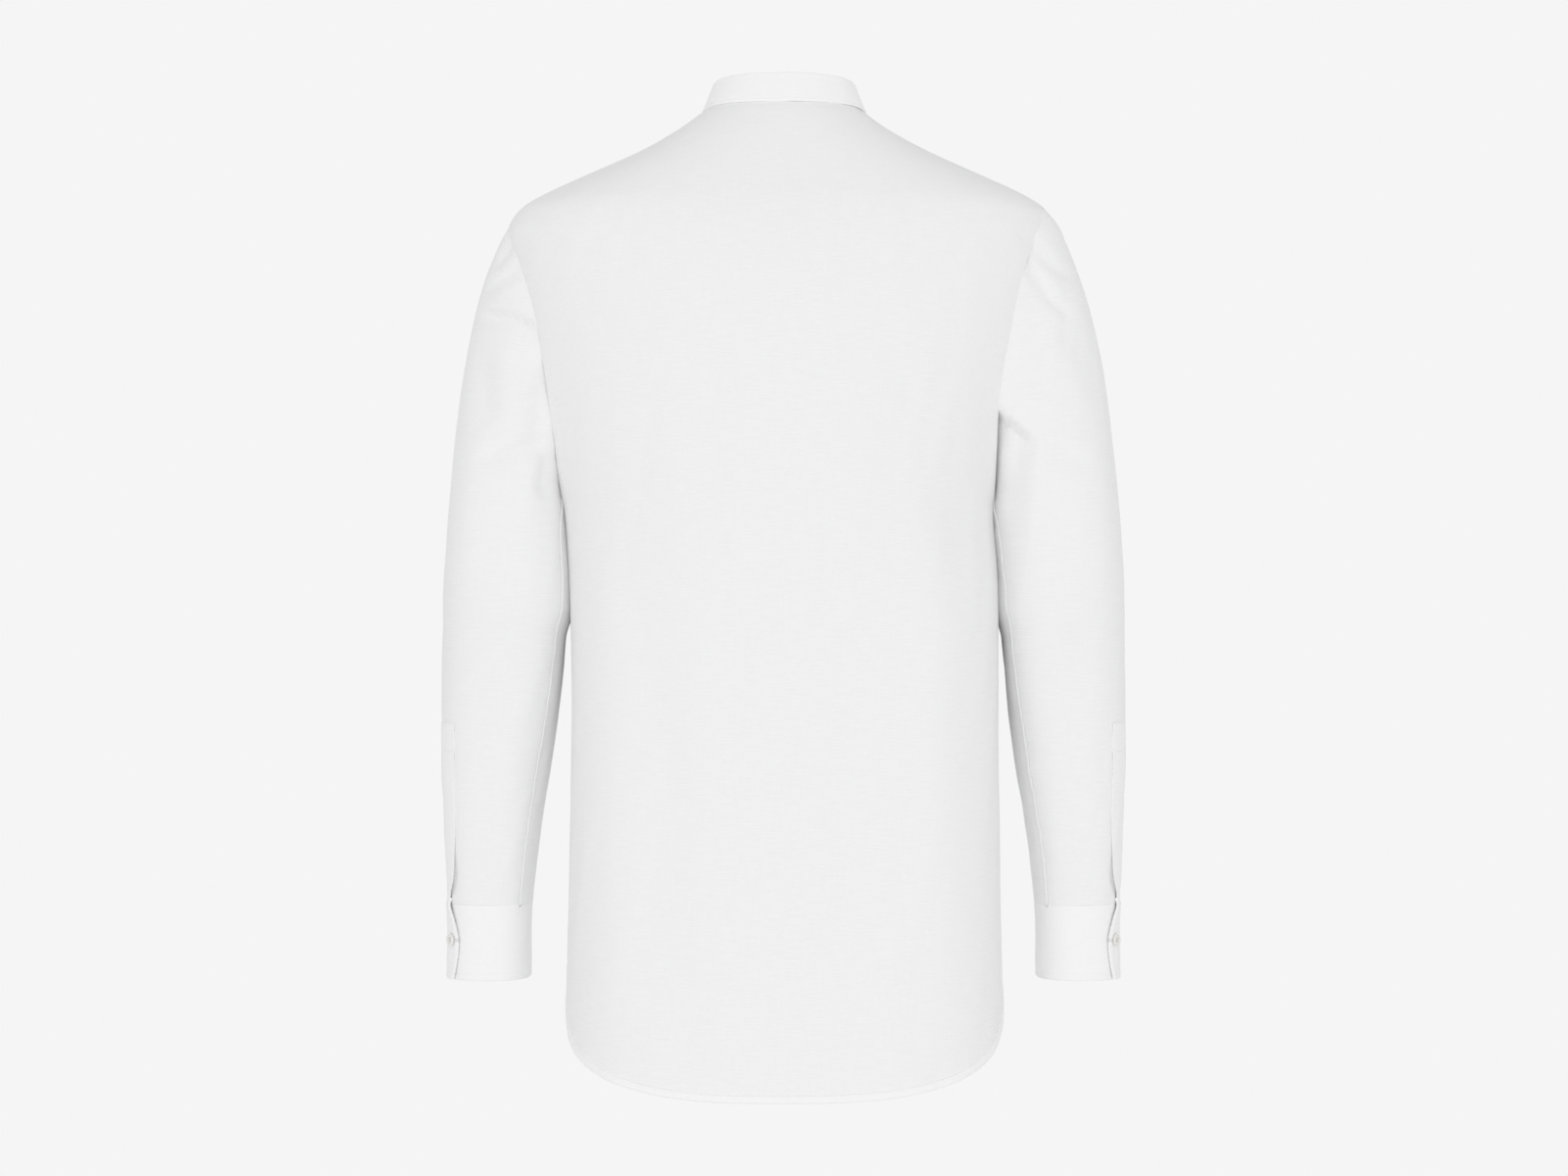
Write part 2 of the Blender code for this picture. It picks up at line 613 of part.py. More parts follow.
# ---- buttons -------------------------------------------------------------------------------------
def buttons():
    over_lap = CLOTH + FRONT_LAP_GAP
    for k in range(FRONT_BUTTONS):
        z = FRONT_BUTTON_TOP - FRONT_BUTTON_PITCH * k
        button("button_front_%d" % (k + 1), *body_sample(pi, z, over_lap))
    lift = band_lift(pi) + BAND_CLOTH - CLOTH
    point, normal = sample(lambda u, v: band_point(u, v, lift), pi, BAND_HEIGHT / 2, BODY_AXIS)
    button("button_collar", point, normal)
    for side in ("left", "right"):
        turn = 2 * pi + CUFF_BUTTON_TURN
        out = cuff_out(turn, CUFF_BUTTON_LEVEL) + CUFF_BUTTON_SEAT
        button("button_cuff_" + side, *tube_sample(side, turn, CUFF_BUTTON_LEVEL, out))


# ---- the shirt -----------------------------------------------------------------------------------
def clear_scene():
    for thing in list(bpy.data.objects):
        bpy.data.objects.remove(thing, do_unlink=True)


def build_shirt():
    clear_scene()
    back_panel()
    for side in ("left", "right"):
        front_panel(side)
        sleeve(side)
        cuff(side)
        placket(side)
    collar_band()
    buttons()


build_shirt()
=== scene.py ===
"""Looks of a collarless long-sleeved shirt, filled out as worn.

Units are metres, +Z is up, the shirt faces -Y and the wearer's left side is +X.  Every piece of cloth is a
thin closed shell on the form that its solid has: level sections for the body (TORSO) and the sleeves
(SLEEVE), with listed creases laid on them.  Hems, stitches and buttons are pieces of their own.
"""
from collections import namedtuple
from functools import partial
from math import cos, pi, radians, sin

import bmesh
import bpy
import numpy as np
from mathutils import Matrix, Vector


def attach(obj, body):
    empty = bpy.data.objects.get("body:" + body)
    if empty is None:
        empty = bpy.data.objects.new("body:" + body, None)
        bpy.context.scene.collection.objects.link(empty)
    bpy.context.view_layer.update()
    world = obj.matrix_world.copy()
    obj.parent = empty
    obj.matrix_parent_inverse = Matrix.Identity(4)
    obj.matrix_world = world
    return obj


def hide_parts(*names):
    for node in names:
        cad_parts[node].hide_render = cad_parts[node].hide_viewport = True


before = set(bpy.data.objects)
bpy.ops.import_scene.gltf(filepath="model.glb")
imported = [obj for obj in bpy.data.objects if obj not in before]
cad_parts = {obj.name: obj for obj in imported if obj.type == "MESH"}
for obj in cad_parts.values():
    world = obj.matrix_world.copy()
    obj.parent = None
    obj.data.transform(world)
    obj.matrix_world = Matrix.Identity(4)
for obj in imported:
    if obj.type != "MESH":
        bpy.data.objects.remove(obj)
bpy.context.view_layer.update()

# ---- driving dimensions ----------------------------------------------------------------------
SIGN = {"left": 1, "right": -1}

CLOTH = 0.0009                 # one layer of shirting
BAND_CLOTH = 0.0021            # collar band, two layers and interlining
CUFF_CLOTH = 0.0019            # cuff, two layers and interlining
PLACKET_CLOTH = 0.0012         # sleeve placket strip
SOLID_CLOTH = 0.0012           # wall of the solids that the shells follow
LAP_GAP = 0.0001               # clearance between the ends of a cuff or of the band where they lap
SQUARENESS = 2.28              # exponent of the body's level sections, 2 would be an ellipse
SLEEVE_SQUARENESS = 2.5        # the same for the sleeves' level sections
SQUARER = 0.80                 # how much higher the body's exponent is below the underarm
SQUARER_START = -0.31          # level where that starts, and the height over which it grows
SQUARER_FADE = 0.14

NECK_MIDDLE = 0.0050           # the neckline is an oval seen from above: its middle,
NECK_SIDE = 0.0670             # its reach to the side,
NECK_BACK = 0.0512             # to the back
NECK_FRONT = 0.0730            # and to the front
NECK_SQUARENESS = 2.3
SHOULDER_FORWARD = radians(14)  # how far the shoulder seam swings forward on its way to the neck
NECK_BLEND = 0.25              # height over which rows bend towards the neckline
HEM_SIDE = -0.720              # hem at the side seams
BACK_TAIL = 0.0963             # how far the back tail hangs below the side seams
FRONT_TAIL = 0.082             # the same for the fronts
TAIL_POWER = 3.55              # how square the tails are
HEM_BLEND = 0.30               # height over which rows bend towards the hem
HEM_WIDTH = 0.0062             # the turned hem
HEM_LIFT_HEIGHT = 0.05         # height over which rows above the hem follow its upper edge
HEM_STITCH = HEM_WIDTH - 0.0012    # stitching of the hem, from its edge
HEM_CLOTH = 0.0014             # thickness of the turned hem
HEM_PUCKER = 0.00030           # how far the pucker of the hem stands out
BODY_RADIUS = 0.17             # rough radii that turn angles into lengths: of the body,
BODY_REACH = 0.18              # of its lower part,
HEM_RADIUS = 0.165             # of the hem all round
HEM_DEPTH = 0.134              # and of the fronts at the hem

FRONT_LAP_GAP = 0.0009         # clearance between the two fronts
FRONT_LAP = 0.017              # each front reaches this far past the middle
FRONT_RISE_WIDTH = 0.060       # width over which the upper front lifts off the form towards its edge
FRONT_FACING = 0.030           # width of the doubled front edge
FRONT_STITCHES = (0.0020, FRONT_FACING - 0.0015)    # its rows of stitching, from its edge
SEAM_OVER = 0.0008             # side and shoulder seams: the back reaches this far past them,
SEAM_UNDER = 0.0026            # and the front this far under the back
ARMHOLE_LIP = 0.0005           # the body's edge stands this much proud at the armhole

BAND_HEIGHT = 0.0255
BAND_LEAN_SIDE = 0.0095        # how far the top of the band leans in at the sides, and at front and back
BAND_LEAN_MIDDLE = 0.0058
BAND_CORNER = 0.013            # radius of the rounded end of the band
BAND_LAP = 0.016               # each end of the band reaches this far past the middle
BAND_SEAT = 0.0002             # clearance between the band and the form below it
BAND_WIND_START = 6.0          # how many laps before the middle the band starts to wind outwards or inwards,
BAND_WIND = 5.0                # and over how many laps it does so
BAND_OUT = 0.0006              # how far the band stands off the body's form
BAND_END = pi + BAND_LAP / NECK_FRONT    # angle of the band's left end
BAND_LOW_STITCH = 0.0030       # stitching of the band, from its seam
BAND_STITCH = 0.0050           # and from its free edges
NECK_RADIUS = 0.062            # rough radius of the neck

SLEEVE_RING = -0.42            # level below which the sleeve no longer feels the armhole
ARMHOLE_FADE = 0.78            # share of the way to that level over which the armhole's shape fades
SLEEVE_TUCK = 0.0030           # the sleeve's first edge lies this far under the body
SLEEVE_UNDER = 0.0012          # and this far below the body's face
AGAINST_TOP = -0.314           # levels between which the sleeve lies against the body
AGAINST_BOTTOM = -0.444
FELL = 0.007                   # overlap of the sleeve's felled underarm seam
FELL_LIFT = 0.0003             # how far the felled seam stands up,
FELL_FADE = 0.016              # and the width over which that fades
SEAM_STITCHES = (0.0014, 0.0060)    # its rows of stitching, from its edge
SEAM_PUCKER = 0.00040          # how far the pucker beside it stands up
SLEEVE_RADIUS = 0.045          # rough radii of the sleeve and of the cuff
CUFF_RADIUS = 0.036
CUFF_STEP = 0.0008             # the cuff stands this much above the cloth that runs into it
CUFF_EASE = 0.018              # height over which the sleeve eases into the cuff
PLACKET_BOX = 0.024            # height of the stitched box at the top of the placket
CUFF_TUCK = 0.004              # how far the sleeve's end reaches into the cuff
CUFF_INTO_SLEEVE = 0.0030      # how far the cuff reaches above its top
CUFF_OUT = 0.0008              # how far the cuff stands off the sleeve's form
CUFF_APART = (CUFF_CLOTH + LAP_GAP) / 2  # half the distance between its two ends
TOPSTITCH = 0.0052             # stitching of the cuff, from its edges
CUFF_WIND = 1.2                # turn over which the cuff climbs from under its own end to over it
CUFF_LAP = 0.75                # turn up to which its start lies fully under its end
CUFF_TOP = -0.6650
CUFF_BOTTOM = -0.7310
CUFF_UNDERLAP = -8             # angle at which the hidden end of the cuff stops
FREE_EDGE_TURN = 0.7           # how far back from its end the cuff starts to stand off
PLACKET_TOP = -0.513
PLACKET_WIDTH = 0.024
PLACKET_SEAT = 0.0006          # the placket stands this much above the sleeve's cloth
PLACKET_STITCH = 0.0018        # stitching of the placket, from its edges
TROUGH = 0.0026                # how deep the sleeve sinks beside the placket's free edge,
TROUGH_LEVEL = -0.650          # and where it is deepest

BUTTON_RADIUS = 0.0055
BUTTON_THICKNESS = 0.0024
BUTTON_SEAT = 0.0003           # clearance between a button and the cloth
# Outline of a button from the middle of its back over the rim to the middle of its face, as shares of its
# radius and thickness
BUTTON_PROFILE = ((0.0, 0.0), (0.80, 0.0), (0.93, 0.10), (0.99, 0.30), (1.0, 0.55), (0.97, 0.80),
                  (0.90, 0.96), (0.82, 1.0), (0.74, 0.96), (0.68, 0.84), (0.62, 0.74), (0.50, 0.68),
                  (0.0, 0.66))
HOLE_PLACE = 0.00115           # holes of a button, from its middle
HOLE_RADIUS = 0.00075

STITCH_PITCH = 0.0028
STITCH_LENGTH = 0.0021
STITCH_RADIUS = 0.00018
GROOVE = 0.0006                # half width of the groove along a row of stitches
BEAD_SIDES = 4                 # sides of a stitch's thread
BAR_PITCH = 0.00048            # bars of a worked buttonhole: distance between them,
BAR_PLACE = 0.0008             # from their middle to the slit,
BAR_LENGTH = 0.0011
BAR_RADIUS = 0.00026
BAR_STEP = 0.0004              # and the step that gives their direction
THREAD_RADIUS = 0.00024        # thread that holds a button
THREAD_APART = 0.00022         # distance between its strands
FRONT_BUTTON_LEVELS = [-0.115 - 0.088 * k for k in range(7)]    # from the top down
CUFF_BUTTON_TURN = radians(40)
CUFF_BUTTON_LEVEL = -0.697
# How each button is turned on its thread: down the front, on the band, on the left and the right cuff
BUTTON_TURNS = (0.10, -0.35, 0.22, 0.55, -0.12, 0.40, -0.5, 0.05, 0.30, -0.25)

YARN_PITCH = 0.00042           # from one yarn of the cloth to the next
# Uneven yarns of the cloth: how fast they change across and along it, and their share
YARNS = ((1100.0, 40.0, 0.45), (190.0, 2600.0, 0.7), (55.0, 1250.0, 1.0))

ROUND_LIGHT = 0.84             # studio light from all round, more of it from before and behind the shirt
FACING_LIGHT = 0.70
LESS_UP_AND_DOWN = 0.28        # and less from above and below
BACKGROUND = (0.913, 0.913, 0.913, 1.0)    # what is seen behind the shirt
LENS = 75.9                    # in millimetres, on film 36 wide
CAMERA_PLACE = (0.0, 2.8, -0.40)

# ---- tables ----------------------------------------------------------------------------------
def table(columns, *rows):
    """Rows with named columns."""
    kind = namedtuple("Row", columns)
    return [kind(*row) for row in rows]


# Body: half width to the wearer's left and right, middle of the section, and depth behind and in front of
# that middle, at each level.
TORSO = table(
    "z left right middle back front",
    (0.012, 0.047, 0.047, 0.016, 0.03, 0.024),
    (0.006, 0.057, 0.0565, 0.0155, 0.0375, 0.032),
    (0.0, 0.0668, 0.0655, 0.015, 0.045, 0.04),
    (-0.016, 0.0893, 0.088, 0.014, 0.056, 0.053),
    (-0.034, 0.1212, 0.1214, 0.0115, 0.068, 0.064),
    (-0.054, 0.1668, 0.1668, 0.008, 0.081, 0.072),
    (-0.068, 0.1985, 0.1988, 0.0045, 0.091, 0.0775),
    (-0.08, 0.2203, 0.2188, 0.002, 0.099, 0.084),
    (-0.0955, 0.2318, 0.2275, 0.0, 0.1065, 0.0925),
    (-0.11, 0.232, 0.226, 0.0, 0.111, 0.101),
    (-0.14, 0.227, 0.2195, 0.0, 0.118, 0.115),
    (-0.18, 0.2195, 0.2115, 0.0, 0.124, 0.1275),
    (-0.23, 0.2115, 0.2, 0.0, 0.128, 0.135),
    (-0.29, 0.1975, 0.1865, 0.0, 0.129, 0.138),
    (-0.336, 0.187, 0.1775, 0.0, 0.1285, 0.1385),
    (-0.39, 0.1812, 0.1797, 0.0, 0.127, 0.137),
    (-0.45, 0.1783, 0.1792, 0.0, 0.1255, 0.135),
    (-0.56, 0.1783, 0.1798, 0.0, 0.1245, 0.133),
    (-0.68, 0.1804, 0.1812, 0.0, 0.1265, 0.133),
    (-0.82, 0.1836, 0.1845, 0.0, 0.13, 0.135))

# Sleeve: outer and inner edge seen from behind, middle and half depth, at each level.
SLEEVE = table(
    "z outer_left outer_right inner_left inner_right middle depth",
    (-0.08, 0.221, 0.2205, 0.156, 0.156, 0.0, 0.055),
    (-0.0955, 0.2335, 0.2325, 0.162, 0.16, 0.0, 0.057),
    (-0.122, 0.2461, 0.244, 0.168, 0.164, 0.0, 0.059),
    (-0.159, 0.2584, 0.2568, 0.173, 0.168, -0.001, 0.061),
    (-0.209, 0.2692, 0.2685, 0.179, 0.173, -0.002, 0.063),
    (-0.267, 0.276, 0.2754, 0.185, 0.179, 0.003, 0.065),
    (-0.334, 0.2811, 0.2812, 0.1888, 0.1815, 0.009, 0.0655),
    (-0.36, 0.2829, 0.2829, 0.188, 0.1825, 0.01, 0.0655),
    (-0.39, 0.2852, 0.285, 0.185, 0.1838, 0.009, 0.065),
    (-0.42, 0.2866, 0.2863, 0.1845, 0.1845, 0.004, 0.064),
    (-0.45, 0.2879, 0.2873, 0.1862, 0.186, -0.003, 0.0625),
    (-0.5, 0.2898, 0.289, 0.1918, 0.1912, -0.011, 0.059),
    (-0.55, 0.2894, 0.2887, 0.1992, 0.1982, -0.017, 0.0545),
    (-0.61, 0.2874, 0.2863, 0.209, 0.208, -0.02, 0.048),
    (-0.665, 0.2853, 0.2845, 0.2153, 0.2143, -0.022, 0.0415),
    (-0.73, 0.2858, 0.285, 0.2168, 0.216, -0.023, 0.04))

# Armhole, an oval seen from the side: level of the shoulder tip and of the underarm, reach of the oval to
# the back and to the front, and how full it is above its middle (1 is an ellipse, less is squarer).
Armhole = namedtuple("Armhole", "tip underarm back front fullness")
ARMHOLES = {
    "left": Armhole(-0.0955, -0.336, 0.055, 0.055, 1.0),
    "right": Armhole(-0.0805, -0.333, 0.066, 0.055, 0.62),
}

# Broad folds of the body: where they run (angle round from the back middle, top and bottom level), width as
# an angle, and depth.  A negative depth is a trough.
BODY_FOLDS = table(
    "angle_top angle_bottom top bottom width depth",
    (48, 40, -0.18, -0.8, 13, -0.003),
    (24, 22, -0.3, -0.86, 12, 0.002),
    (-20, -26, -0.34, -0.86, 13, -0.0022),
    (-44, -50, -0.16, -0.74, 12, 0.0024),
    (128, 136, -0.2, -0.84, 12, -0.0026),
    (-126, -134, -0.22, -0.84, 13, -0.0024))
FOLD_RISE = 2.5                # how soon a fold grows from its top and fades before its bottom
FOLD_END = 6.0

# Creases, seen square on from behind or from the front: two ends, how far the middle bows up (or left, for
# an upright one), half width above and below (or left and right), and depth.  Depths below zero are troughs.
Crease = namedtuple("Crease", "face x0 z0 x1 z1 bow above below depth")


def creases(**faces):
    return [Crease(face, *row) for face, rows in faces.items() for row in rows]


BODY_CREASES = creases(
    back=((0.224, -0.1085, 0.182, -0.113, 0.001, 0.005, 0.011, -0.0016),
          (0.219, -0.086, 0.198, -0.101, 0.0, 0.009, 0.009, -0.0018),
          (-0.218, -0.09, -0.196, -0.11, 0.002, 0.009, 0.011, -0.0018),
          (0.048, -0.15, 0.06, -0.34, 0.003, 0.01, 0.014, -0.0007),
          (-0.072, -0.14, -0.126, -0.32, -0.004, 0.012, 0.01, -0.0008),
          (0.156, -0.3, 0.082, -0.64, 0.01, 0.014, 0.014, -0.0008),
          (-0.015, -0.44, 0.026, -0.56, 0.002, 0.008, 0.01, -0.0007),
          (-0.034, -0.45, -0.076, -0.65, 0.003, 0.01, 0.012, -0.0008),
          (-0.139, -0.366, -0.17, -0.354, 0.001, 0.004, 0.006, -0.0009),
          (-0.152, -0.442, -0.174, -0.434, 0.001, 0.004, 0.006, -0.0008)),
    front=((0.17, -0.125, 0.09, -0.23, 0.006, 0.012, 0.014, -0.0016),
           (-0.165, -0.12, -0.085, -0.21, 0.005, 0.012, 0.014, -0.0014),
           (0.15, -0.35, 0.06, -0.46, 0.008, 0.011, 0.014, -0.0012),
           (-0.15, -0.36, -0.07, -0.45, 0.006, 0.011, 0.014, -0.0012),
           (0.07, -0.42, 0.1, -0.68, 0.004, 0.012, 0.012, -0.001),
           (-0.06, -0.4, -0.11, -0.69, 0.004, 0.012, 0.012, -0.0011)))
SLEEVE_CREASES = {
    "left": creases(
        back=((0.227, -0.111, 0.242, -0.131, 0.0, 0.004, 0.005, -0.003),
              (0.2215, -0.133, 0.253, -0.153, -0.001, 0.004, 0.006, -0.0026),
              (0.204, -0.186, 0.252, -0.1715, 0.0045, 0.0022, 0.009, -0.0032),
              (0.204, -0.186, 0.252, -0.1715, 0.0045, 0.011, 0.003, 0.001),
              (0.233, -0.195, 0.229, -0.262, 0.0, 0.012, 0.016, 0.0034),
              (0.25, -0.205, 0.245, -0.262, 0.0, 0.013, 0.011, -0.0034),
              (0.203, -0.278, 0.248, -0.294, 0.002, 0.006, 0.01, -0.0034),
              (0.203, -0.214, 0.205, -0.283, 0.0, 0.009, 0.009, -0.0034),
              (0.196, -0.288, 0.2, -0.324, 0.0, 0.006, 0.006, -0.0034),
              (0.19, -0.316, 0.212, -0.329, 0.0, 0.003, 0.006, 0.0016)),
        front=((0.226, -0.116, 0.248, -0.144, 0.001, 0.005, 0.006, -0.0024),
               (0.21, -0.18, 0.254, -0.201, 0.003, 0.005, 0.009, -0.002),
               (0.2, -0.29, 0.25, -0.265, 0.003, 0.008, 0.01, -0.0022),
               (0.21, -0.43, 0.266, -0.4, 0.004, 0.008, 0.01, -0.0024),
               (0.208, -0.476, 0.264, -0.458, 0.003, 0.007, 0.009, -0.002))),
    "right": creases(
        back=((-0.204, -0.113, -0.242, -0.141, -0.003, 0.005, 0.006, -0.003),
              (-0.2, -0.124, -0.234, -0.171, -0.003, 0.0035, 0.006, -0.004),
              (-0.22, -0.19, -0.248, -0.25, 0.002, 0.01, 0.014, 0.0018),
              (-0.217, -0.286, -0.248, -0.298, 0.002, 0.008, 0.012, -0.0026)),
        front=((-0.218, -0.102, -0.246, -0.135, 0.001, 0.005, 0.006, -0.0024),
               (-0.208, -0.172, -0.256, -0.195, 0.003, 0.005, 0.009, -0.002),
               (-0.198, -0.278, -0.248, -0.258, 0.003, 0.008, 0.01, -0.0024),
               (-0.208, -0.44, -0.268, -0.412, 0.004, 0.008, 0.01, -0.0022),
               (-0.21, -0.49, -0.264, -0.468, 0.003, 0.007, 0.009, -0.002))),
}

# Hollows with their own outlines, seen square on: depth, and sides as directed lines, with the hollow on
# their left hand, and the width over which it falls away there.
Side = namedtuple("Side", "x0 z0 x1 z1 width")
Hollow = namedtuple("Hollow", "face depth sides")
SLEEVE_HOLLOWS = {
    "left": [],
    "right": [
        Hollow("back", -0.009, (Side(-0.18, -0.253, -0.213, -0.28, 0.0045),
                                Side(-0.213, -0.28, -0.199, -0.43, 0.02),
                                Side(-0.23, -0.46, -0.15, -0.46, 0.13))),
    ],
}

# Free edge of the placket strip and end of the cuff: angle round the sleeve from its outer edge towards the
# back, and how far the edge stands off, at each level.
LAP_EDGE = table(
    "z angle lift",
    (-0.5, 49.5, 0.0),
    (-0.6, 49.5, 0.0003),
    (-0.625, 47.8, 0.0006),
    (-0.645, 43.5, 0.001),
    (-0.665, 34.7, 0.0014),
    (-0.68, 45.2, 0.0012),
    (-0.697, 52.1, 0.0003),
    (-0.715, 49.5, 0.0002),
    (-0.73, 44.3, 0.0006))

# Underarm seam of the sleeve: how far it lies from the sleeve's inner edge towards the back, at each level.
UNDERARM_SEAM = table(
    "z angle",
    (-0.33, 21),
    (-0.4, 33),
    (-0.5, 39.5),
    (-0.6, 44.5),
    (-0.73, 46.5))

# Grid sizes
BODY_ROWS = 150
ARMHOLE_ROWS = 90
SHOULDER_ROWS = 34
BACK_COLUMNS = 152
FRONT_COLUMNS = 84
SLEEVE_UPPER_ROWS = 120
SLEEVE_LOWER_ROWS = 90
SLEEVE_COLUMNS = 138
EDGE_FADE = 0.25               # share of a panel's width over which its grid feels a shaped edge
SLANTED = 0.35                 # cells narrower than this sine take their normals from the form itself
EDGE_STEPS = (0.0, 0.00015, 0.0004, 0.0008, 0.0014, 0.0022, 0.0034)    # first places from a panel's edge


# ---- curves through tables -------------------------------------------------------------------
def read(table, column, z):
    """Values of a column at levels z, on a smooth curve through the rows (highest row first)."""
    levels = np.array([row.z for row in table[::-1]])
    values = np.array([getattr(row, column) for row in table[::-1]], float)
    slopes = np.empty_like(values)
    slopes[1:-1] = (values[2:] - values[:-2]) / (levels[2:] - levels[:-2])
    for end, next_in in ((0, 1), (-1, -2)):
        slopes[end] = (values[next_in] - values[end]) / (levels[next_in] - levels[end])
    z = np.clip(z, levels[0], levels[-1])
    i = np.clip(np.searchsorted(levels, z, side="right") - 1, 0, len(levels) - 2)
    span = levels[i + 1] - levels[i]
    t = (z - levels[i]) / span
    return ((2 * t**3 - 3 * t**2 + 1) * values[i] + (t**3 - 2 * t**2 + t) * span * slopes[i]
            + (3 * t**2 - 2 * t**3) * values[i + 1] + (t**3 - t**2) * span * slopes[i + 1])


def smooth(t):
    """A soft step from 0 to 1."""
    t = np.clip(t, 0.0, 1.0)
    return t * t * (3 - 2 * t)


def hump(t):
    """A soft bump, 1 at 0."""
    return np.exp(-t * t)


def xyz(x, y, z):
    return np.stack(np.broadcast_arrays(x, y, z), -1)


def unit(vectors):
    return vectors / np.maximum(np.linalg.norm(vectors, axis=-1, keepdims=True), 1e-12)


def soft_noise(u, v, cell_u, cell_v, seed):
    """Smooth value noise from -1 to 1 with the given cell sizes."""
    lattice = np.random.default_rng(seed).uniform(-1, 1, (64, 64))
    u, v = u / cell_u + 1000.0, v / cell_v + 1000.0
    i, j = np.floor(u).astype(int), np.floor(v).astype(int)
    a, b = smooth(u - i), smooth(v - j)
    near, far = (lattice[i % 64, k % 64] * (1 - a) + lattice[(i + 1) % 64, k % 64] * a for k in (j, j + 1))
    return near * (1 - b) + far * b


def on_face(face, facing):
    """1 on the named face and 0 on the other; facing is +1 at the back and -1 at the front."""
    return smooth(facing * (3.0 if face == "back" else -3.0))


def crease_height(creases, x, z, facing):
    """Lift of all creases at places seen square on."""
    lift = np.zeros(np.broadcast(x, z).shape)
    for crease in creases:
        start, end = np.array([crease.x0, crease.z0]), np.array([crease.x1, crease.z1])
        length = np.linalg.norm(end - start)
        along_x, along_z = (end - start) / length
        up_x, up_z = (-along_z, along_x) if along_x > 0 else (along_z, -along_x)
        a = ((x - start[0]) * along_x + (z - start[1]) * along_z) / length
        p = (x - start[0]) * up_x + (z - start[1]) * up_z - crease.bow * 4 * a * (1 - a)
        width = np.where(p > 0, crease.above, crease.below)
        ends = smooth((a + 0.25) / 0.5) * smooth((1.25 - a) / 0.5)
        lift = lift + crease.depth * hump(p / width) * ends * on_face(crease.face, facing)
    return lift


def hollow_height(hollows, x, z, facing):
    """Lift of all hollows at places seen square on, straight out of the face that they are in."""
    lift = np.zeros(np.broadcast(x, z).shape)
    for hollow in hollows:
        deep = on_face(hollow.face, facing)
        for side in hollow.sides:
            run_x, run_z = side.x1 - side.x0, side.z1 - side.z0
            left = (run_x * (z - side.z0) - run_z * (x - side.x0)) / np.hypot(run_x, run_z)
            deep = deep * smooth(left / side.width)
        lift = lift + hollow.depth * deep
    return lift


# ---- the body's form -------------------------------------------------------------------------
def fold_height(angle, z):
    """How far the broad folds lift the cloth at an angle in degrees round from the back middle."""
    lift = np.zeros(np.broadcast(angle, z).shape)
    for fold in BODY_FOLDS:
        along = (fold.top - z) / (fold.top - fold.bottom)
        middle = fold.angle_top + (fold.angle_bottom - fold.angle_top) * along
        away = np.clip(np.abs(angle - middle) / fold.width, 0, 1)
        ends = smooth(along * FOLD_RISE) * smooth((1 - along) * FOLD_END)
        lift = lift + fold.depth * (0.5 + 0.5 * np.cos(pi * away)) * ends
    return lift


def squareness(z):
    """Exponent of the body's section at a level."""
    return SQUARENESS + SQUARER * smooth((SQUARER_START - z) / SQUARER_FADE)


def body_form(angle, z, out=0.0):
    """The body's form at an angle (radians from the back middle, + to the left) and level."""
    s, c = np.sin(angle), np.cos(angle)
    half = np.where(s >= 0, read(TORSO, "left", z), read(TORSO, "right", z))
    depth = np.where(c >= 0, read(TORSO, "back", z), read(TORSO, "front", z))
    power = squareness(z)
    reach = ((np.abs(s) / half)**power + (np.abs(c) / depth)**power)**(-1 / power)
    reach = reach + out + fold_height(np.degrees(angle), z)
    return xyz(reach * s, read(TORSO, "middle", z) + reach * c, z)


def raised(point, normal, lift):
    """Places moved out along their normals."""
    return point + normal * np.asarray(lift)[..., None]


def normals_of(surface, u, v, axis, step=0.0006):
    """Places on surface(u, v) and their normals, facing away from an upright axis at (x, y)."""
    across = surface(u + step, v) - surface(u - step, v)
    along = surface(u, v + step) - surface(u, v - step)
    normal = unit(np.cross(across, along))
    point = surface(u, v)
    away = (point[..., 0] - axis[0]) * normal[..., 0] + (point[..., 1] - axis[1]) * normal[..., 1]
    return point, normal * np.where(away < 0, -1.0, 1.0)[..., None]


def body_skin(angle, z, out=0.0):
    """Outer face of the body's cloth with its creases, and its normals."""
    point, normal = normals_of(body_form, angle, z, (0.0, 0.0))
    run = angle * BODY_RADIUS
    broad, fine = soft_noise(run, z, 0.030, 0.16, 3), soft_noise(run + z * 0.2, z, 0.013, 0.09, 4)
    drape = (0.0005 * broad + 0.0004 * fine) * smooth((-0.03 - z) / 0.08)
    lift = crease_height(BODY_CREASES, point[..., 0], point[..., 2], np.cos(angle)) + drape + out
    return raised(point, normal, lift), normal


def make_neckline():
    """Angles all round and the levels there of the neckline, where the form meets an upright oval."""
    angles = np.radians(np.arange(-360, 360.5, 0.5))
    low, high = np.full(angles.shape, -0.1), np.full(angles.shape, TORSO[0].z)
    for _ in range(24):
        z = (low + high) / 2
        point = body_form(angles, z)
        y = point[:, 1] - NECK_MIDDLE
        reach = np.abs(y) / np.where(y > 0, NECK_BACK, NECK_FRONT)
        outside = (np.abs(point[:, 0]) / NECK_SIDE)**NECK_SQUARENESS + reach**NECK_SQUARENESS > 1
        low, high = np.where(outside, z, low), np.where(outside, high, z)
    return angles, (low + high) / 2


NECKLINE = make_neckline()


def neck_level(angle):
    return np.interp(angle, *NECKLINE)


def hem_level(angle):
    """Level of the hem against the side seams."""
    tail = np.where(np.cos(angle) > 0, BACK_TAIL, FRONT_TAIL)
    across = np.abs(np.arctan2(np.sin(angle), np.abs(np.cos(angle)))) / (pi / 2)
    return -tail * (1 - np.minimum(across, 1.0)**TAIL_POWER)


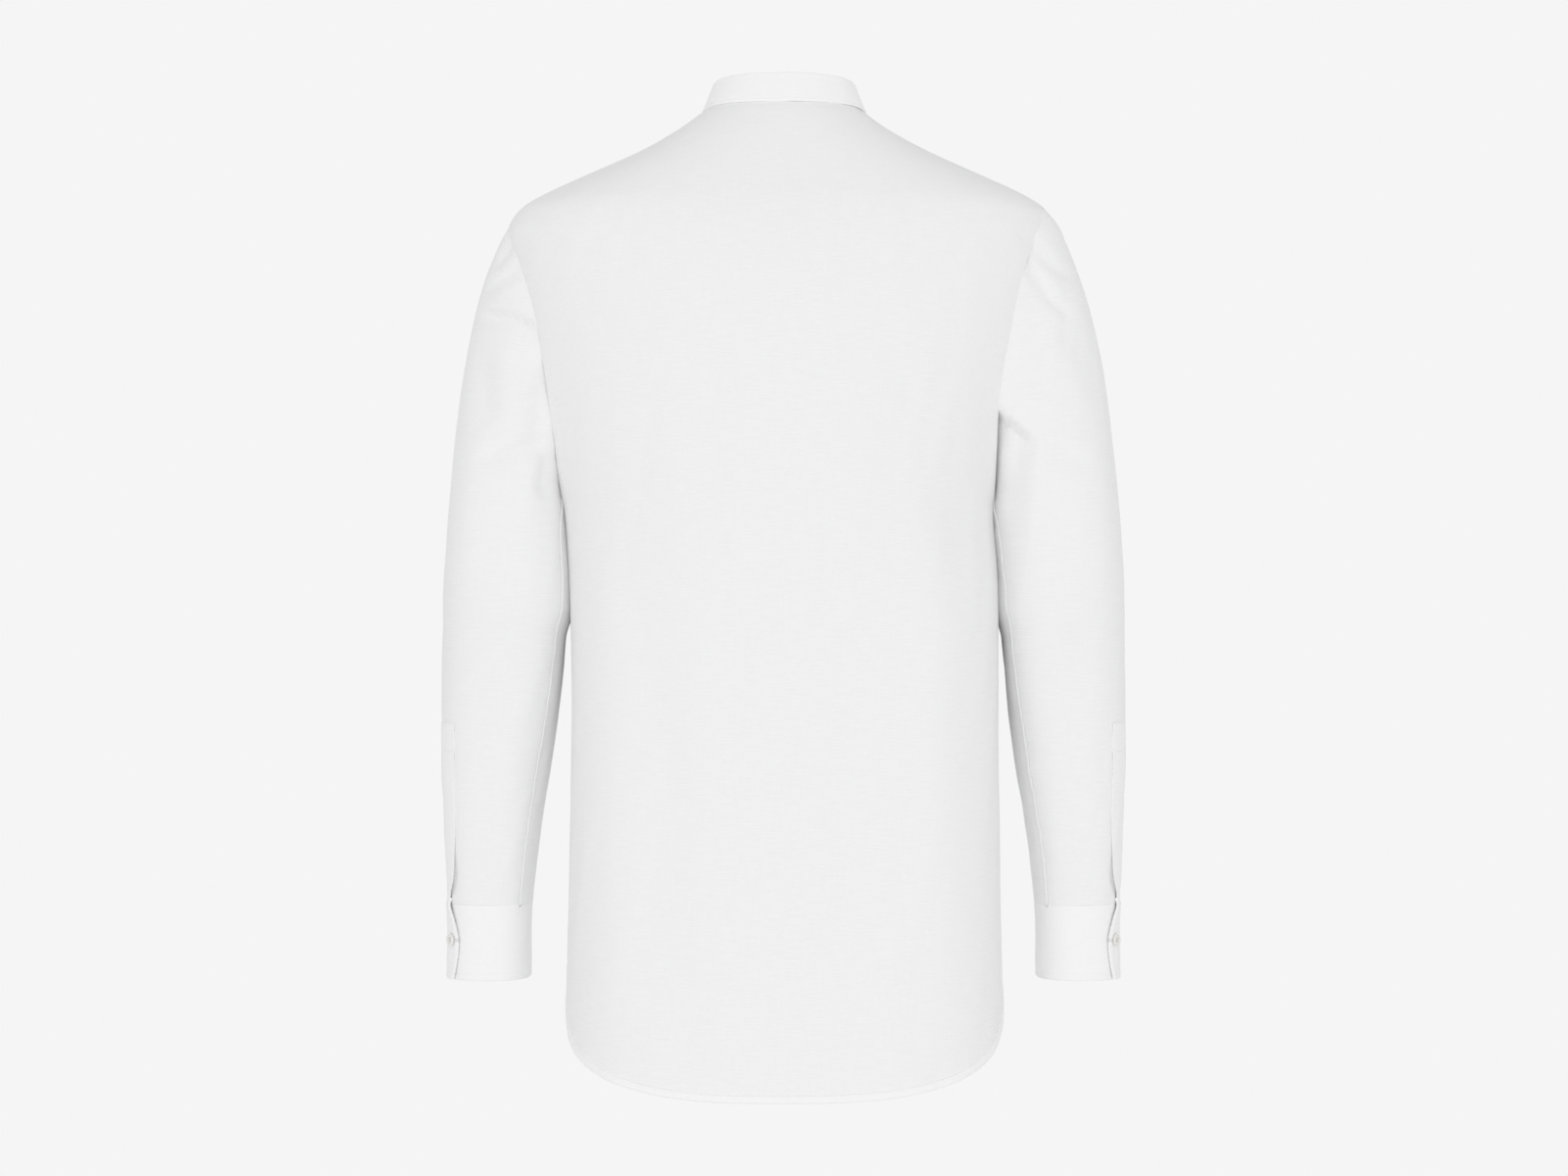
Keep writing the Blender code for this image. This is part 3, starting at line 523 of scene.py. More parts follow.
def hem_slope(angle, reach):
    """Slope of the hem, where the cloth is `reach` away from the body's middle."""
    step = 0.002
    return (hem_level(angle + step) - hem_level(angle - step)) / (2 * step * reach)


def hem_edge(angle, up=0.0):
    """Angle and level of the hem's edge, or of a line `up` from it, square to the edge."""
    reach = np.linalg.norm(body_form(angle, HEM_SIDE)[..., :2], axis=-1)
    slope = hem_slope(angle, reach)
    run = np.sqrt(1 + slope**2)
    return angle - up * slope / run / reach, HEM_SIDE + hem_level(angle) + up / run


def row_level(side_level, angle):
    """Level of a row of the cloth, which bends towards the neckline and the hem as it nears them."""
    towards_neck = smooth(1 + side_level / NECK_BLEND)
    towards_hem = smooth(1 - (side_level - HEM_SIDE) / HEM_BLEND)
    return side_level + neck_level(angle) * towards_neck + hem_level(angle) * towards_hem


def cloth_level(side_level, angle):
    """The same for a panel, whose rows near the hem rise to meet the hem strip's upper edge."""
    near = smooth(1 - (side_level - HEM_SIDE) / HEM_LIFT_HEIGHT)
    rise = (HEM_WIDTH - 0.0004) * np.sqrt(1 + hem_slope(angle, BODY_REACH)**2) * near
    return row_level(side_level, angle) + rise


# ---- the armhole -----------------------------------------------------------------------------
def armhole_level(side, turn):
    """Level of the armhole at a turn from the shoulder tip (0) to the underarm (pi)."""
    hole = ARMHOLES[side]
    return hole.tip + (hole.underarm - hole.tip) * (1 - np.cos(turn)) / 2


def armhole_angle(side, turn, face):
    """Angle round the body of the armhole at that turn, on its back or front edge."""
    hole = ARMHOLES[side]
    z = armhole_level(side, turn)
    power = np.where(turn < pi / 2, hole.fullness, 1.0)
    reach = getattr(hole, face) * np.maximum(np.sin(turn), 0.0)**power
    across = read(TORSO, side, z) * (1 - (reach / read(TORSO, face, z))**squareness(z))**(1 / squareness(z))
    return SIGN[side] * np.arctan2(across, reach if face == "back" else -reach)


def even_turns(side, face, count):
    """Turns that share out the armhole's back or front edge evenly, from the shoulder tip to the underarm."""
    turn = np.linspace(0, pi, 721)
    edge = body_form(armhole_angle(side, turn, face), armhole_level(side, turn))
    length = run_lengths(edge[None], 1)[0]
    return np.interp(np.linspace(0, length[-1], count + 1), length, turn)


def side_rows(side, face):
    """A panel's rows: levels at its side edge, turns in the armhole (NaN elsewhere), levels farther in."""
    hole = ARMHOLES[side]
    regular = np.linspace(EDGE_STEPS[-1], hole.underarm - HEM_SIDE, BODY_ROWS + 1)[1:-1]
    below = HEM_SIDE + np.concatenate([EDGE_STEPS, regular])
    turns = even_turns(side, face, ARMHOLE_ROWS)[::-1]
    share = np.linspace(0, 1, ARMHOLE_ROWS + 1)
    above = hole.tip * (1 - np.linspace(0, 1, SHOULDER_ROWS + 1)[1:]**1.05)
    levels = np.concatenate([below, armhole_level(side, turns), above])
    inner = np.concatenate([below, hole.underarm + (hole.tip - hole.underarm) * share, above])
    turns = np.concatenate([np.full(below.shape, np.nan), turns, np.full(above.shape, np.nan)])
    return levels, turns, inner


def side_angle(side, levels, turns, face):
    """Angle of the panel's side edge: the side or shoulder seam, or the edge of the armhole."""
    plain = SIGN[side] * (pi / 2 + SHOULDER_FORWARD * smooth(1 - levels / ARMHOLES[side].tip))
    inside = np.nan_to_num(turns, nan=0.0)
    armhole = armhole_angle(side, inside, face)
    return np.where(np.isnan(turns) | (inside <= 0) | (inside >= pi), plain, armhole)


# ---- cloth -----------------------------------------------------------------------------------
def steps_along(length, count):
    """Places along a length: close together near both ends, even between them."""
    edge = np.array(EDGE_STEPS)
    middle = np.linspace(edge[-1], length - edge[-1], count + 1)[1:-1]
    return np.concatenate([edge, middle, length - edge[::-1]])


def run_lengths(points, axis):
    """Distance along each row (axis 1) or column (axis 0) of a grid of points."""
    steps = np.linalg.norm(np.diff(points, axis=axis), axis=-1)
    start = np.zeros_like(np.take(steps, [0], axis=axis))
    return np.concatenate([start, np.cumsum(steps, axis=axis)], axis=axis)


def grid_normals(points):
    """Normals of a grid of points whose rows go up and whose columns turn to the left, seen from outside."""
    return unit(np.cross(np.gradient(points, axis=1), np.gradient(points, axis=0)))


def form_normals(points, skin, angle, z):
    """Grid normals, with those of slanted cells taken from the skin itself, and where that was done."""
    across, along = np.gradient(points, axis=1), np.gradient(points, axis=0)
    size = np.linalg.norm(across, axis=-1) * np.linalg.norm(along, axis=-1)
    cross = np.cross(across, along)
    slanted = np.linalg.norm(cross, axis=-1) < SLANTED * size
    normal = unit(cross)
    if slanted.any():
        u, v, step = angle[slanted], z[slanted], 0.004
        side = skin(u + step, v)[0] - skin(u - step, v)[0]
        up = skin(u, v + step / 8)[0] - skin(u, v - step / 8)[0]
        exact = unit(np.cross(side, up))
        agree = np.sum(exact * normal[slanted], -1, keepdims=True) < 0
        normal[slanted] = np.where(agree, -exact, exact)
    return normal, slanted


def add_piece(name, data, node=None, place=None):
    """A piece that moves with the shirt.  It stands for the solid `node`, if one is named."""
    piece = bpy.data.objects.new(name, data)
    bpy.context.scene.collection.objects.link(piece)
    if place is not None:
        piece.matrix_world = place
    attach(piece, "root")
    if node:
        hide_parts(node)
    return piece


def new_mesh(name, vertices, faces, material):
    mesh = bpy.data.meshes.new(name)
    mesh.from_pydata(vertices.tolist(), [], faces.tolist())
    mesh.materials.append(material)
    mesh.shade_smooth()
    return mesh


def shell(name, points, thickness, material, cut, flip=False, soft=None, normals=None, slanted=None):
    """A closed shell of cloth whose outer face is a grid of points, with edges rounded over `soft`.

    cut is the pair of grids with each point's place in the flat cloth, in metres.
    """
    rows, columns = points.shape[:2]
    across, along = run_lengths(points, 1), run_lengths(points, 0)
    edge = np.minimum(np.minimum(across, across[:, -1:] - across), np.minimum(along, along[-1:] - along))
    normal = grid_normals(points) if normals is None else normals
    normal = normal * (-1.0 if flip else 1.0)
    radius = thickness / 2 if soft is None else soft
    inside = 1 - np.clip(edge / radius, 0, 1)
    sunk = thickness / 2 * (1 - np.sqrt(np.maximum(1 - inside**2, 0)))
    outer = (points - normal * sunk[..., None]).reshape(-1, 3)
    inner = (points - normal * (thickness - sunk)[..., None]).reshape(-1, 3)
    index = np.arange(rows * columns).reshape(rows, columns)
    within = np.zeros((rows, columns), bool)
    within[1:-1, 1:-1] = True
    lower = index.copy()
    lower[within] = rows * columns + np.arange(within.sum())
    quads = np.stack([index[:-1, :-1], index[:-1, 1:], index[1:, 1:], index[1:, :-1]], -1).reshape(-1, 4)
    under = np.stack([lower[:-1, :-1], lower[1:, :-1], lower[1:, 1:], lower[:-1, 1:]], -1).reshape(-1, 4)
    faces = np.concatenate([quads, under])
    within = within.reshape(-1)
    mesh = new_mesh(name, np.concatenate([outer, inner[within]]), faces[:, ::-1] if flip else faces, material)
    place = np.stack(np.broadcast_arrays(*cut), -1).reshape(-1, 2)
    place = np.concatenate([place, place[within]])
    corners = np.empty(len(mesh.loops), np.int32)
    mesh.loops.foreach_get("vertex_index", corners)
    mesh.uv_layers.new(name="cut").data.foreach_set("uv", place[corners].astype(np.float32).ravel())
    if slanted is not None and slanted.any():
        keep = (slanted & (edge > radius)).reshape(-1, 1)
        given = np.where(keep, normal.reshape(-1, 3), 0.0)
        mesh.normals_split_custom_set_from_vertices(np.concatenate([given, -given[within]]).tolist())
    return add_piece(name, mesh, name[:-len("_cloth")] if name.endswith("_cloth") else None)


def even_angles(start, end):
    """Angle as a function of the share of the way round the body's section."""
    angle = np.linspace(start, end, 500)
    length = run_lengths(body_form(angle, np.full(angle.shape, -0.40))[None], 1)[0]
    return lambda share: np.interp(share, length / length[-1], angle)


def panel_grid(surface, start, end, first, last, middle, count):
    """Angles and levels of a panel's grid.

    start and end are the angles of its two edges in each row, first and last the row's levels there, and
    middle its level away from them.
    """
    base = even_angles(start[0], end[0])
    share = np.linspace(0, 1, 721)

    def place(share):
        near, far = 1 - smooth(share / EDGE_FADE), 1 - smooth((1 - share) / EDGE_FADE)
        angle = base(share) + (start - start[0])[:, None] * near + (end - end[0])[:, None] * far
        level = middle[:, None] + (first - middle)[:, None] * near + (last - middle)[:, None] * far
        return angle, level

    dense = np.broadcast_to(share[None, :], (len(start), len(share)))
    length = run_lengths(surface(*place(dense)), 1)
    edge = np.array(EDGE_STEPS)
    regular = np.linspace(0, 1, count + 1)[1:-1]
    rows = []
    for row in length:
        total = row[-1]
        inner = edge[-1] + np.interp(regular, share, row) * (total - 2 * edge[-1]) / total
        rows.append(np.interp(np.concatenate([edge, inner, total - edge[::-1]]), row, share))
    return place(np.array(rows))


# ---- body panels -----------------------------------------------------------------------------
def sewn(side, levels):
    """1 where the side edge is a seam between two panels, 0 where it is the armhole."""
    hole = ARMHOLES[side]
    return smooth((hole.underarm - levels) / 0.012 - 0.2) + smooth((levels - hole.tip) / 0.010 - 0.2)


def edge_lip(points, left, right, width=0.0045):
    """Lifts the last few millimetres of a panel before its left and right edge."""
    across = run_lengths(points, 1)
    return hump(across / width) * left[:, None] + hump((across[:, -1:] - across) / width) * right[:, None]


def under_band(points, normals):
    """Adds a last row to a panel's top that reaches up inside the collar band."""
    top = points[-1] - normals[-1] * 0.0007
    top = top + np.array([0.0, 0.0, 0.0022]) - xyz(top[:, 0], top[:, 1] - NECK_MIDDLE, 0.0) * 0.012
    return np.concatenate([points, top[None]]), np.concatenate([normals, normals[-1:]])


def panel(name, skin, sign, edges, levels, count, lips, cut_from, cut_sign, material):
    """A panel of the body on skin(angle, z), its angles measured to the left (sign 1) or to the right (-1).

    edges and levels are those that panel_grid takes, and lips say how far the two edges stand out.  The flat
    cloth is measured across from the angle cut_from, to the left or the right as cut_sign says.
    """
    def surface(angle, level):
        return body_form(sign * angle, cloth_level(level, sign * angle))

    angle, level = panel_grid(surface, *edges, *levels, count)
    z = cloth_level(level, sign * angle)
    points, _ = skin(sign * angle, z)
    normals, slanted = form_normals(points, skin, sign * angle, z)
    points = points + normals * edge_lip(points, *lips)[..., None] * sign
    normals = np.where(slanted[..., None], normals, grid_normals(points))
    points, normals = under_band(points, normals * sign)
    slanted = np.concatenate([slanted, np.ones_like(slanted[-1:])])
    across, along = run_lengths(points, 1), run_lengths(points, 0)
    angle = np.concatenate([angle, angle[-1:]])
    middle = np.array([[np.interp(cut_from, *row)] for row in zip(angle, across)])
    return shell(name, points, CLOTH, material, ((across - middle) * cut_sign, along + points[:1, :, 2]),
                 flip=(sign < 0), normals=normals * sign, slanted=slanted)


def back_panel(material):
    """The whole back.  Its edges lie on the sleeves and on the fronts."""
    left, right = side_rows("left", "back"), side_rows("right", "back")
    over = SEAM_OVER / read(TORSO, "left", left[0])
    sewn_left, sewn_right = sewn("left", left[0]), sewn("right", right[0])
    edges = (side_angle("right", *right[:2], "back") - over * sewn_right,
             side_angle("left", *left[:2], "back") + over * sewn_left)
    lips = ARMHOLE_LIP - 0.0001 * sewn_right, ARMHOLE_LIP - 0.0001 * sewn_left
    levels = right[0], left[0], (left[2] + right[2]) / 2
    return panel("back_cloth", body_skin, 1, edges, levels, BACK_COLUMNS, lips, 0.0, 1, material)


def front_lift(side, from_edge):
    """The left front lies on the right one."""
    rise = smooth((FRONT_LAP * 2 + FRONT_RISE_WIDTH - from_edge) / FRONT_RISE_WIDTH)
    return (SOLID_CLOTH + FRONT_LAP_GAP) * rise * (side == "left")


def facing_relief(from_edge):
    """The doubled front edge: two rows of stitching, and the step where the facing ends."""
    rows = sum(hump((from_edge - line) / GROOVE) for line in FRONT_STITCHES)
    return 0.0003 * smooth((FRONT_FACING + 0.001 - from_edge) / 0.0015) - 0.00022 * rows


def front_skin(side, angle, z):
    """Face of a front at a signed angle, and its normals."""
    depth = read(TORSO, "front", z)
    from_edge = (pi + FRONT_LAP / depth - np.abs(angle)) * depth
    return body_skin(angle, z, front_lift(side, from_edge) + facing_relief(from_edge))


def front_panel(side, material):
    """One front.  Its side edge lies under the back, and its armhole edge on the sleeve."""
    sign = SIGN[side]
    levels, turns, inner = side_rows(side, "front")
    under = sewn(side, levels)
    start = sign * side_angle(side, levels, turns, "front") - SEAM_UNDER / read(TORSO, side, levels) * under
    end = pi + FRONT_LAP / read(TORSO, "front", row_level(levels, pi))
    lips = ARMHOLE_LIP * (1 - under) - 0.0010 * under, np.zeros(len(turns))
    return panel("front_%s_cloth" % side, partial(front_skin, side), sign, (start, end),
                 (levels, inner, inner), FRONT_COLUMNS, lips, 2 * pi, -sign, material)


def hem_face(angle, up, lift=0.0):
    """Face of the turned hem at a height above its edge, and its normals."""
    point, normal = body_skin(*hem_edge(angle, up), lift)
    run = angle * HEM_RADIUS
    pucker = soft_noise(run, up, 0.0040, 0.0065, 21) + 0.5 * np.sin(run * 2 * pi / 0.0067 + 260 * up)
    pucker = pucker * (0.6 + 0.4 * soft_noise(run, 0.0 * up, 0.035, 1.0, 22))
    rise = 0.0006 * smooth(up / 0.0012) * (1 - 0.7 * smooth((up - 0.0036) / 0.0026))
    bulge = HEM_PUCKER * pucker * np.sin(pi * np.clip(up / HEM_WIDTH, 0, 1))
    stitched = -0.00010 * hump((up - HEM_STITCH) / GROOVE)
    return raised(point, normal, rise + bulge + stitched), normal


def hem_lift(angle):
    """How far the lower edge lies off the form along a strip: only that of the left front does."""
    from_edge = (pi + FRONT_LAP / HEM_DEPTH - np.abs(angle)) * HEM_DEPTH
    return front_lift("left", from_edge) * (np.max(angle) > pi / 2)


def hem_strip(name, start, end, material):
    """The turned hem along the lower edge of a panel, from one angle to another."""
    angles = np.linspace(start, end, int(abs(end - start) * HEM_RADIUS / 0.0010))
    ups = (0.0, 0.0002, 0.0005, 0.0010, 0.0018, 0.0028, 0.0036, 0.0044, 0.0050, 0.0056, 0.0060, HEM_WIDTH)
    up, angle = np.meshgrid(ups, angles, indexing="ij")
    points, _ = hem_face(angle, up, hem_lift(angle))
    across, along = run_lengths(points, 1), run_lengths(points, 0)
    return shell(name, points, HEM_CLOTH, material, (across, along + HEM_SIDE), flip=(end < start),
                 soft=0.0006)


# ---- sleeves ---------------------------------------------------------------------------------
def across_tube(side, z):
    """Middle and half width of the sleeve's tube at a level."""
    outer, inner = read(SLEEVE, "outer_" + side, z), read(SLEEVE, "inner_" + side, z)
    return (outer + inner) / 2, (outer - inner) / 2


def tube_axis(side, z):
    return SIGN[side] * across_tube(side, z)[0], read(SLEEVE, "middle", z)


def tube_form(side, turn, z, out=0.0):
    """The sleeve's tube at a turn from its outer edge (0) over the back (pi/2), and level."""
    middle, half = across_tube(side, z)
    c, s = np.cos(turn), np.sin(turn)
    fuller = (np.abs(c)**SLEEVE_SQUARENESS + np.abs(s)**SLEEVE_SQUARENESS)**(-1 / SLEEVE_SQUARENESS)
    return xyz(SIGN[side] * (middle + (half + out) * c * fuller),
               read(SLEEVE, "middle", z) + (read(SLEEVE, "depth", z) + out) * s * fuller, z)


def armhole_point(side, turn):
    """The armhole's seam on the body, at a turn measured like the sleeve's."""
    turn = np.mod(turn, 2 * pi)
    half_turn = np.where(turn <= pi, turn, 2 * pi - turn)
    level = armhole_level(side, half_turn)
    back, front = (side_angle(side, level, half_turn, face) for face in ("back", "front"))
    angle = np.where(turn <= pi, back, front)
    return body_form(angle, row_level(level, angle))


def sleeve_form(side, turn, down):
    """The sleeve: down is 0 at the armhole, 1 at SLEEVE_RING and 2 at the top of the cuff."""
    seam = armhole_point(side, turn)
    upper = np.clip(down, -0.2, 1.0)
    z = seam[..., 2] + (SLEEVE_RING - seam[..., 2]) * upper
    z = z + (CUFF_TOP - SLEEVE_RING) * np.maximum(down - 1.0, 0.0)
    pull = seam - tube_form(side, turn, seam[..., 2])
    fade = np.maximum(1 - upper / ARMHOLE_FADE, 0.0)**2
    point = tube_form(side, turn, z)
    point[..., :2] += pull[..., :2] * fade[..., None]
    return point


def underarm_level(side, down):
    """Level of the sleeve's underarm side at its measure down."""
    level = armhole_level(side, pi) * np.clip(1 - down, 0, 1) + SLEEVE_RING * np.clip(down, 0, 1)
    return level + (CUFF_TOP - SLEEVE_RING) * np.maximum(down - 1, 0)


def down_at(z):
    """The sleeve's measure of how far down a level is, below SLEEVE_RING."""
    return 1 + (SLEEVE_RING - z) / (SLEEVE_RING - CUFF_TOP)


def near_cuff(z):
    """1 at the top of the cuff and below it, 0 well above it."""
    return smooth(1 - (z - CUFF_TOP) / CUFF_EASE)


def seam_turn(z):
    """Turn of the sleeve's underarm seam."""
    return pi - np.radians(read(UNDERARM_SEAM, "angle", z))


def inner_reach(side, turn, z):
    """How far the sleeve's inner corners stand out: they lie against the body just below the underarm."""
    from_inner = np.abs(np.degrees(np.mod(turn, 2 * pi)) - 180)
    apart = np.maximum(read(SLEEVE, "inner_" + side, z) - read(TORSO, side, z), 0.0)
    close = smooth((AGAINST_TOP - z) / 0.022) * smooth((z - AGAINST_BOTTOM) / 0.036)
    return close * (apart * (1 - smooth((from_inner - 4) / 34)) + 0.0045 * hump((from_inner - 24) / 26))


def sleeve_relief(side, turn, point):
    """Creases, drape, and the puckers beside the underarm seam."""
    x, z = point[..., 0], point[..., 2]
    lift = crease_height(SLEEVE_CREASES[side], x, z, np.sin(turn)) + inner_reach(side, turn, z)
    seed = 7 if side == "left" else 9
    run = 1.2 * x + 0.9 * point[..., 1]
    lift = lift + 0.0006 * soft_noise(run, z, 0.024, 0.11, seed)
    lift = lift + 0.0004 * soft_noise(run + z * 0.3, z, 0.012, 0.05, seed + 1)
    away = (np.mod(turn - seam_turn(z) + pi, 2 * pi) - pi) * SLEEVE_RADIUS
    pucker = soft_noise(away, z, 0.010, 0.0055, seed + 2) + 0.5 * soft_noise(away, z, 0.02, 0.012, seed + 3)
    return (lift + SEAM_PUCKER * pucker * hump(away / 0.0075)) * (1 - near_cuff(z))


def sleeve_skin(side, turn, down, out=0.0):
    """Outer face of the sleeve's cloth with its creases, and its normals."""
    axis = tube_axis(side, SLEEVE_RING)
    point, normal = normals_of(partial(sleeve_form, side), turn, down, axis, 0.004)
    facing = np.sin(turn)
    sunk = hollow_height(SLEEVE_HOLLOWS[side], point[..., 0], point[..., 2], facing) * np.sign(facing)
    return raised(point, normal, sleeve_relief(side, turn, point) + out) + xyz(0.0, sunk, 0.0), normal


def shared_out(side, turn, down):
    """Turns moved so that the columns share out the armhole's edge evenly, less and less farther down."""
    back, front = (even_turns(side, face, 180) for face in ("back", "front"))
    turns = np.concatenate([back, 2 * pi - front[::-1][1:]])
    even = np.linspace(0, 2 * pi, len(turns))
    moved = np.interp(np.mod(turn, 2 * pi), even, turns) + 2 * pi * np.floor(turn / (2 * pi))
    return turn + (moved - turn) * (1 - smooth(down / 0.75))


def sleeve(side, material):
    """A strip that starts under its own edge at the underarm seam, and whose top layer ends there."""
    end = 2 + CUFF_TUCK / (SLEEVE_RING - CUFF_TOP)
    down = np.concatenate([[0.0, 0.002, 0.005], np.linspace(0, 1, SLEEVE_UPPER_ROWS + 1)[1:-1],
                           np.linspace(1, end, SLEEVE_LOWER_ROWS + 1)])[:, None]
    level = underarm_level(side, down)
    width = 2 * pi * SLEEVE_RADIUS + FELL
    share = steps_along(width, SLEEVE_COLUMNS) / width
    turn = shared_out(side, seam_turn(level) + width / SLEEVE_RADIUS * share[None, :], down)
    down, z = np.broadcast_to(down, turn.shape), np.broadcast_to(level, turn.shape)
    from_start = (turn - turn[:, :1]) * SLEEVE_RADIUS
    to_end = (turn[:, -1:] - turn) * SLEEVE_RADIUS
    fell = FELL_LIFT * (1 - smooth(from_start / FELL_FADE)) - 0.0004 * smooth((FELL + 0.010 - to_end) / 0.010)
    stitched = (0.0006 * hump((from_start - 0.0010) / 0.0010)
                - 0.0002 * hump((from_start - SEAM_STITCHES[1]) / GROOVE))
    round_turn = np.mod(turn, 2 * pi)
    past_edge = (round_turn - placket_edge(z)) * SLEEVE_RADIUS
    trough = -TROUGH * hump(past_edge / 0.0040) * hump((z - TROUGH_LEVEL) / 0.020)
    ridge = 0.0005 * hump((past_edge - 0.0030) / 0.0007) * smooth((PLACKET_TOP - z) / 0.004)
    cuff_seat = near_cuff(z) * sleeve_seat(round_turn)
    out = fell + stitched + (trough + ridge) * (1 - near_cuff(z)) + cuff_seat
    points, _ = sleeve_skin(side, turn, down, out)
    points = tuck_under_body(side, points)[::-1]
    cut = (np.concatenate([turn[:1], turn])[::-1] - pi) * SLEEVE_RADIUS, run_lengths(points, 0) + CUFF_TOP
    return shell("sleeve_%s_cloth" % side, points, CLOTH, material, cut, flip=(side == "left"))


def tuck_under_body(side, points):
    """Sinks the sleeve's first edge a little and adds a row that lies under the edge of the body."""
    inward = np.array([-1.0 * SIGN[side], 0.0, 0.0])
    seam = points[0] + inward * 0.0006
    tucked = seam - unit(points[6] - points[0]) * SLEEVE_TUCK + inward * SLEEVE_UNDER
    return np.concatenate([tucked[None], seam[None], points[1:]])


# ---- cuffs and plackets ----------------------------------------------------------------------
def placket_edge(z):
    """Turn of the free edge of the placket, and of the cuff below it."""
    return np.radians(read(LAP_EDGE, "angle", z))


def cuff_end(z):
    """Turn at which the lapping end of the cuff stops."""
    return 2 * pi + placket_edge(z)


def cuff_out(turn, z):
    """How far the cuff's face lies outside the sleeve's tube: it winds outwards, and its end stands off."""
    over = smooth((turn - (2 * pi - CUFF_WIND)) / CUFF_WIND)
    under = smooth((CUFF_WIND + CUFF_LAP - turn) / CUFF_WIND)
    stand = smooth((turn - cuff_end(z) + FREE_EDGE_TURN) / FREE_EDGE_TURN)
    return CUFF_APART * (over - under) + read(LAP_EDGE, "lift", z) * stand + CUFF_OUT


def cuff_skin(side, turn, z, out=0.0):
    """Outer face of the cuff, and its normals."""
    def form(u, v):
        return tube_form(side, u, v, cuff_out(u, v))

    point, normal = normals_of(form, turn, z, tube_axis(side, z), 0.002)
    return raised(point, normal, out), normal


def stitched_relief(from_edge, line=TOPSTITCH):
    """Doubled cloth: a fine groove where it is topstitched, and a little fullness from there to the edge."""
    return (-0.00030 * hump((from_edge - line) / GROOVE)
            + 0.00022 * hump((from_edge - line * 0.5) / (line * 0.35)))


def sleeve_seat(turn):
    """How far out the sleeve's cloth lies where it runs into the cuff, for turns from 0 to a full turn."""
    follow = cuff_out(turn, CUFF_TOP)
    return follow + (CUFF_OUT - CUFF_APART - follow) * smooth((turn - 2 * pi + 0.40) / 0.35) - CUFF_STEP


def cuff_face(side, turn, z):
    """Face of the cuff with its stitching."""
    edge = np.minimum(z - CUFF_BOTTOM, (cuff_end(z) - turn) * CUFF_RADIUS)
    calm = smooth((CUFF_TOP - z) / 0.020)
    relief = stitched_relief(edge) + 0.00040 * calm * soft_noise(turn * CUFF_RADIUS, z, 0.018, 0.03, 12)
    return cuff_skin(side, turn, z, relief - 0.0018 * smooth((z - CUFF_TOP + CUFF_INTO_SLEEVE) / 0.0060))


def cuff(side, material):
    start = radians(CUFF_UNDERLAP)
    z = CUFF_BOTTOM + steps_along(CUFF_TOP + CUFF_INTO_SLEEVE - CUFF_BOTTOM, 44)[:, None]
    end = cuff_end(z)
    length = (end.mean() - start) * CUFF_RADIUS
    turn = start + (end - start) * steps_along(length, 140) / length
    level = np.broadcast_to(z, turn.shape)
    points, _ = cuff_face(side, turn, level)
    return shell("cuff_%s_cloth" % side, points, CUFF_CLOTH, material, (turn * CUFF_RADIUS, level),
                 flip=(side == "right"), soft=0.0008)


def placket_face(side, from_edge, z):
    """Face of the placket strip at a distance from its free edge, and its normals."""
    turn = placket_edge(z) - from_edge / across_tube(side, z)[1]
    share = np.clip(1 - from_edge / PLACKET_WIDTH, 0, 1)
    lift = read(LAP_EDGE, "lift", z) * share**2 * (1 - near_cuff(z))
    seat = near_cuff(z) * (cuff_out(turn + 2 * pi, CUFF_TOP) - CUFF_STEP)
    flat = (PLACKET_CLOTH + PLACKET_SEAT) * (1 - near_cuff(z))
    edge = np.minimum(np.minimum(from_edge, PLACKET_WIDTH - from_edge), PLACKET_TOP - z)
    box = -0.00025 * hump((PLACKET_TOP - PLACKET_BOX - z) / GROOVE) * (z > PLACKET_TOP - PLACKET_BOX - 0.002)
    relief = stitched_relief(edge, PLACKET_STITCH) + box + 0.0003 * soft_noise(from_edge, z, 0.02, 0.012, 17)
    return sleeve_skin(side, turn, down_at(z), flat + lift + seat + relief)


def placket(side, material):
    z = CUFF_TOP - 0.003 + steps_along(PLACKET_TOP - CUFF_TOP + 0.003, 80)
    level, away = np.meshgrid(z, steps_along(PLACKET_WIDTH, 22)[::-1], indexing="ij")
    points, _ = placket_face(side, away, level)
    return shell("sleeve_placket_%s_cloth" % side, points, PLACKET_CLOTH, material, (away, level),
                 flip=(side == "right"), soft=0.0005)


# ---- collar band -----------------------------------------------------------------------------
def band_lift(angle):
    """The band winds outwards a little, so that its left end lies on its right end."""
    lap = BAND_END - pi
    start = pi - BAND_WIND_START * lap
    left, right = (smooth((way * angle - start) / (BAND_WIND * lap)) for way in (1, -1))
    return (BAND_CLOTH + LAP_GAP) / 2 * (left - right) + BAND_OUT


def band_form(angle, up):
    """Outer face of the collar band: angle round the neck and height above its seam."""
    share = up / BAND_HEIGHT
    lean = BAND_LEAN_MIDDLE + (BAND_LEAN_SIDE - BAND_LEAN_MIDDLE) * np.sin(angle)**2
    seam = body_form(angle, row_level(0.0, angle), band_lift(angle))
    rise = np.sqrt(BAND_HEIGHT**2 - lean**2)
    return seam + xyz(-np.sin(angle) * lean * share, -np.cos(angle) * lean * share, rise * share + BAND_SEAT)


def band_skin(angle, up, out=0.0):
    point, normal = normals_of(band_form, angle, up, (0.0, 0.0))
    return raised(point, normal, out), normal


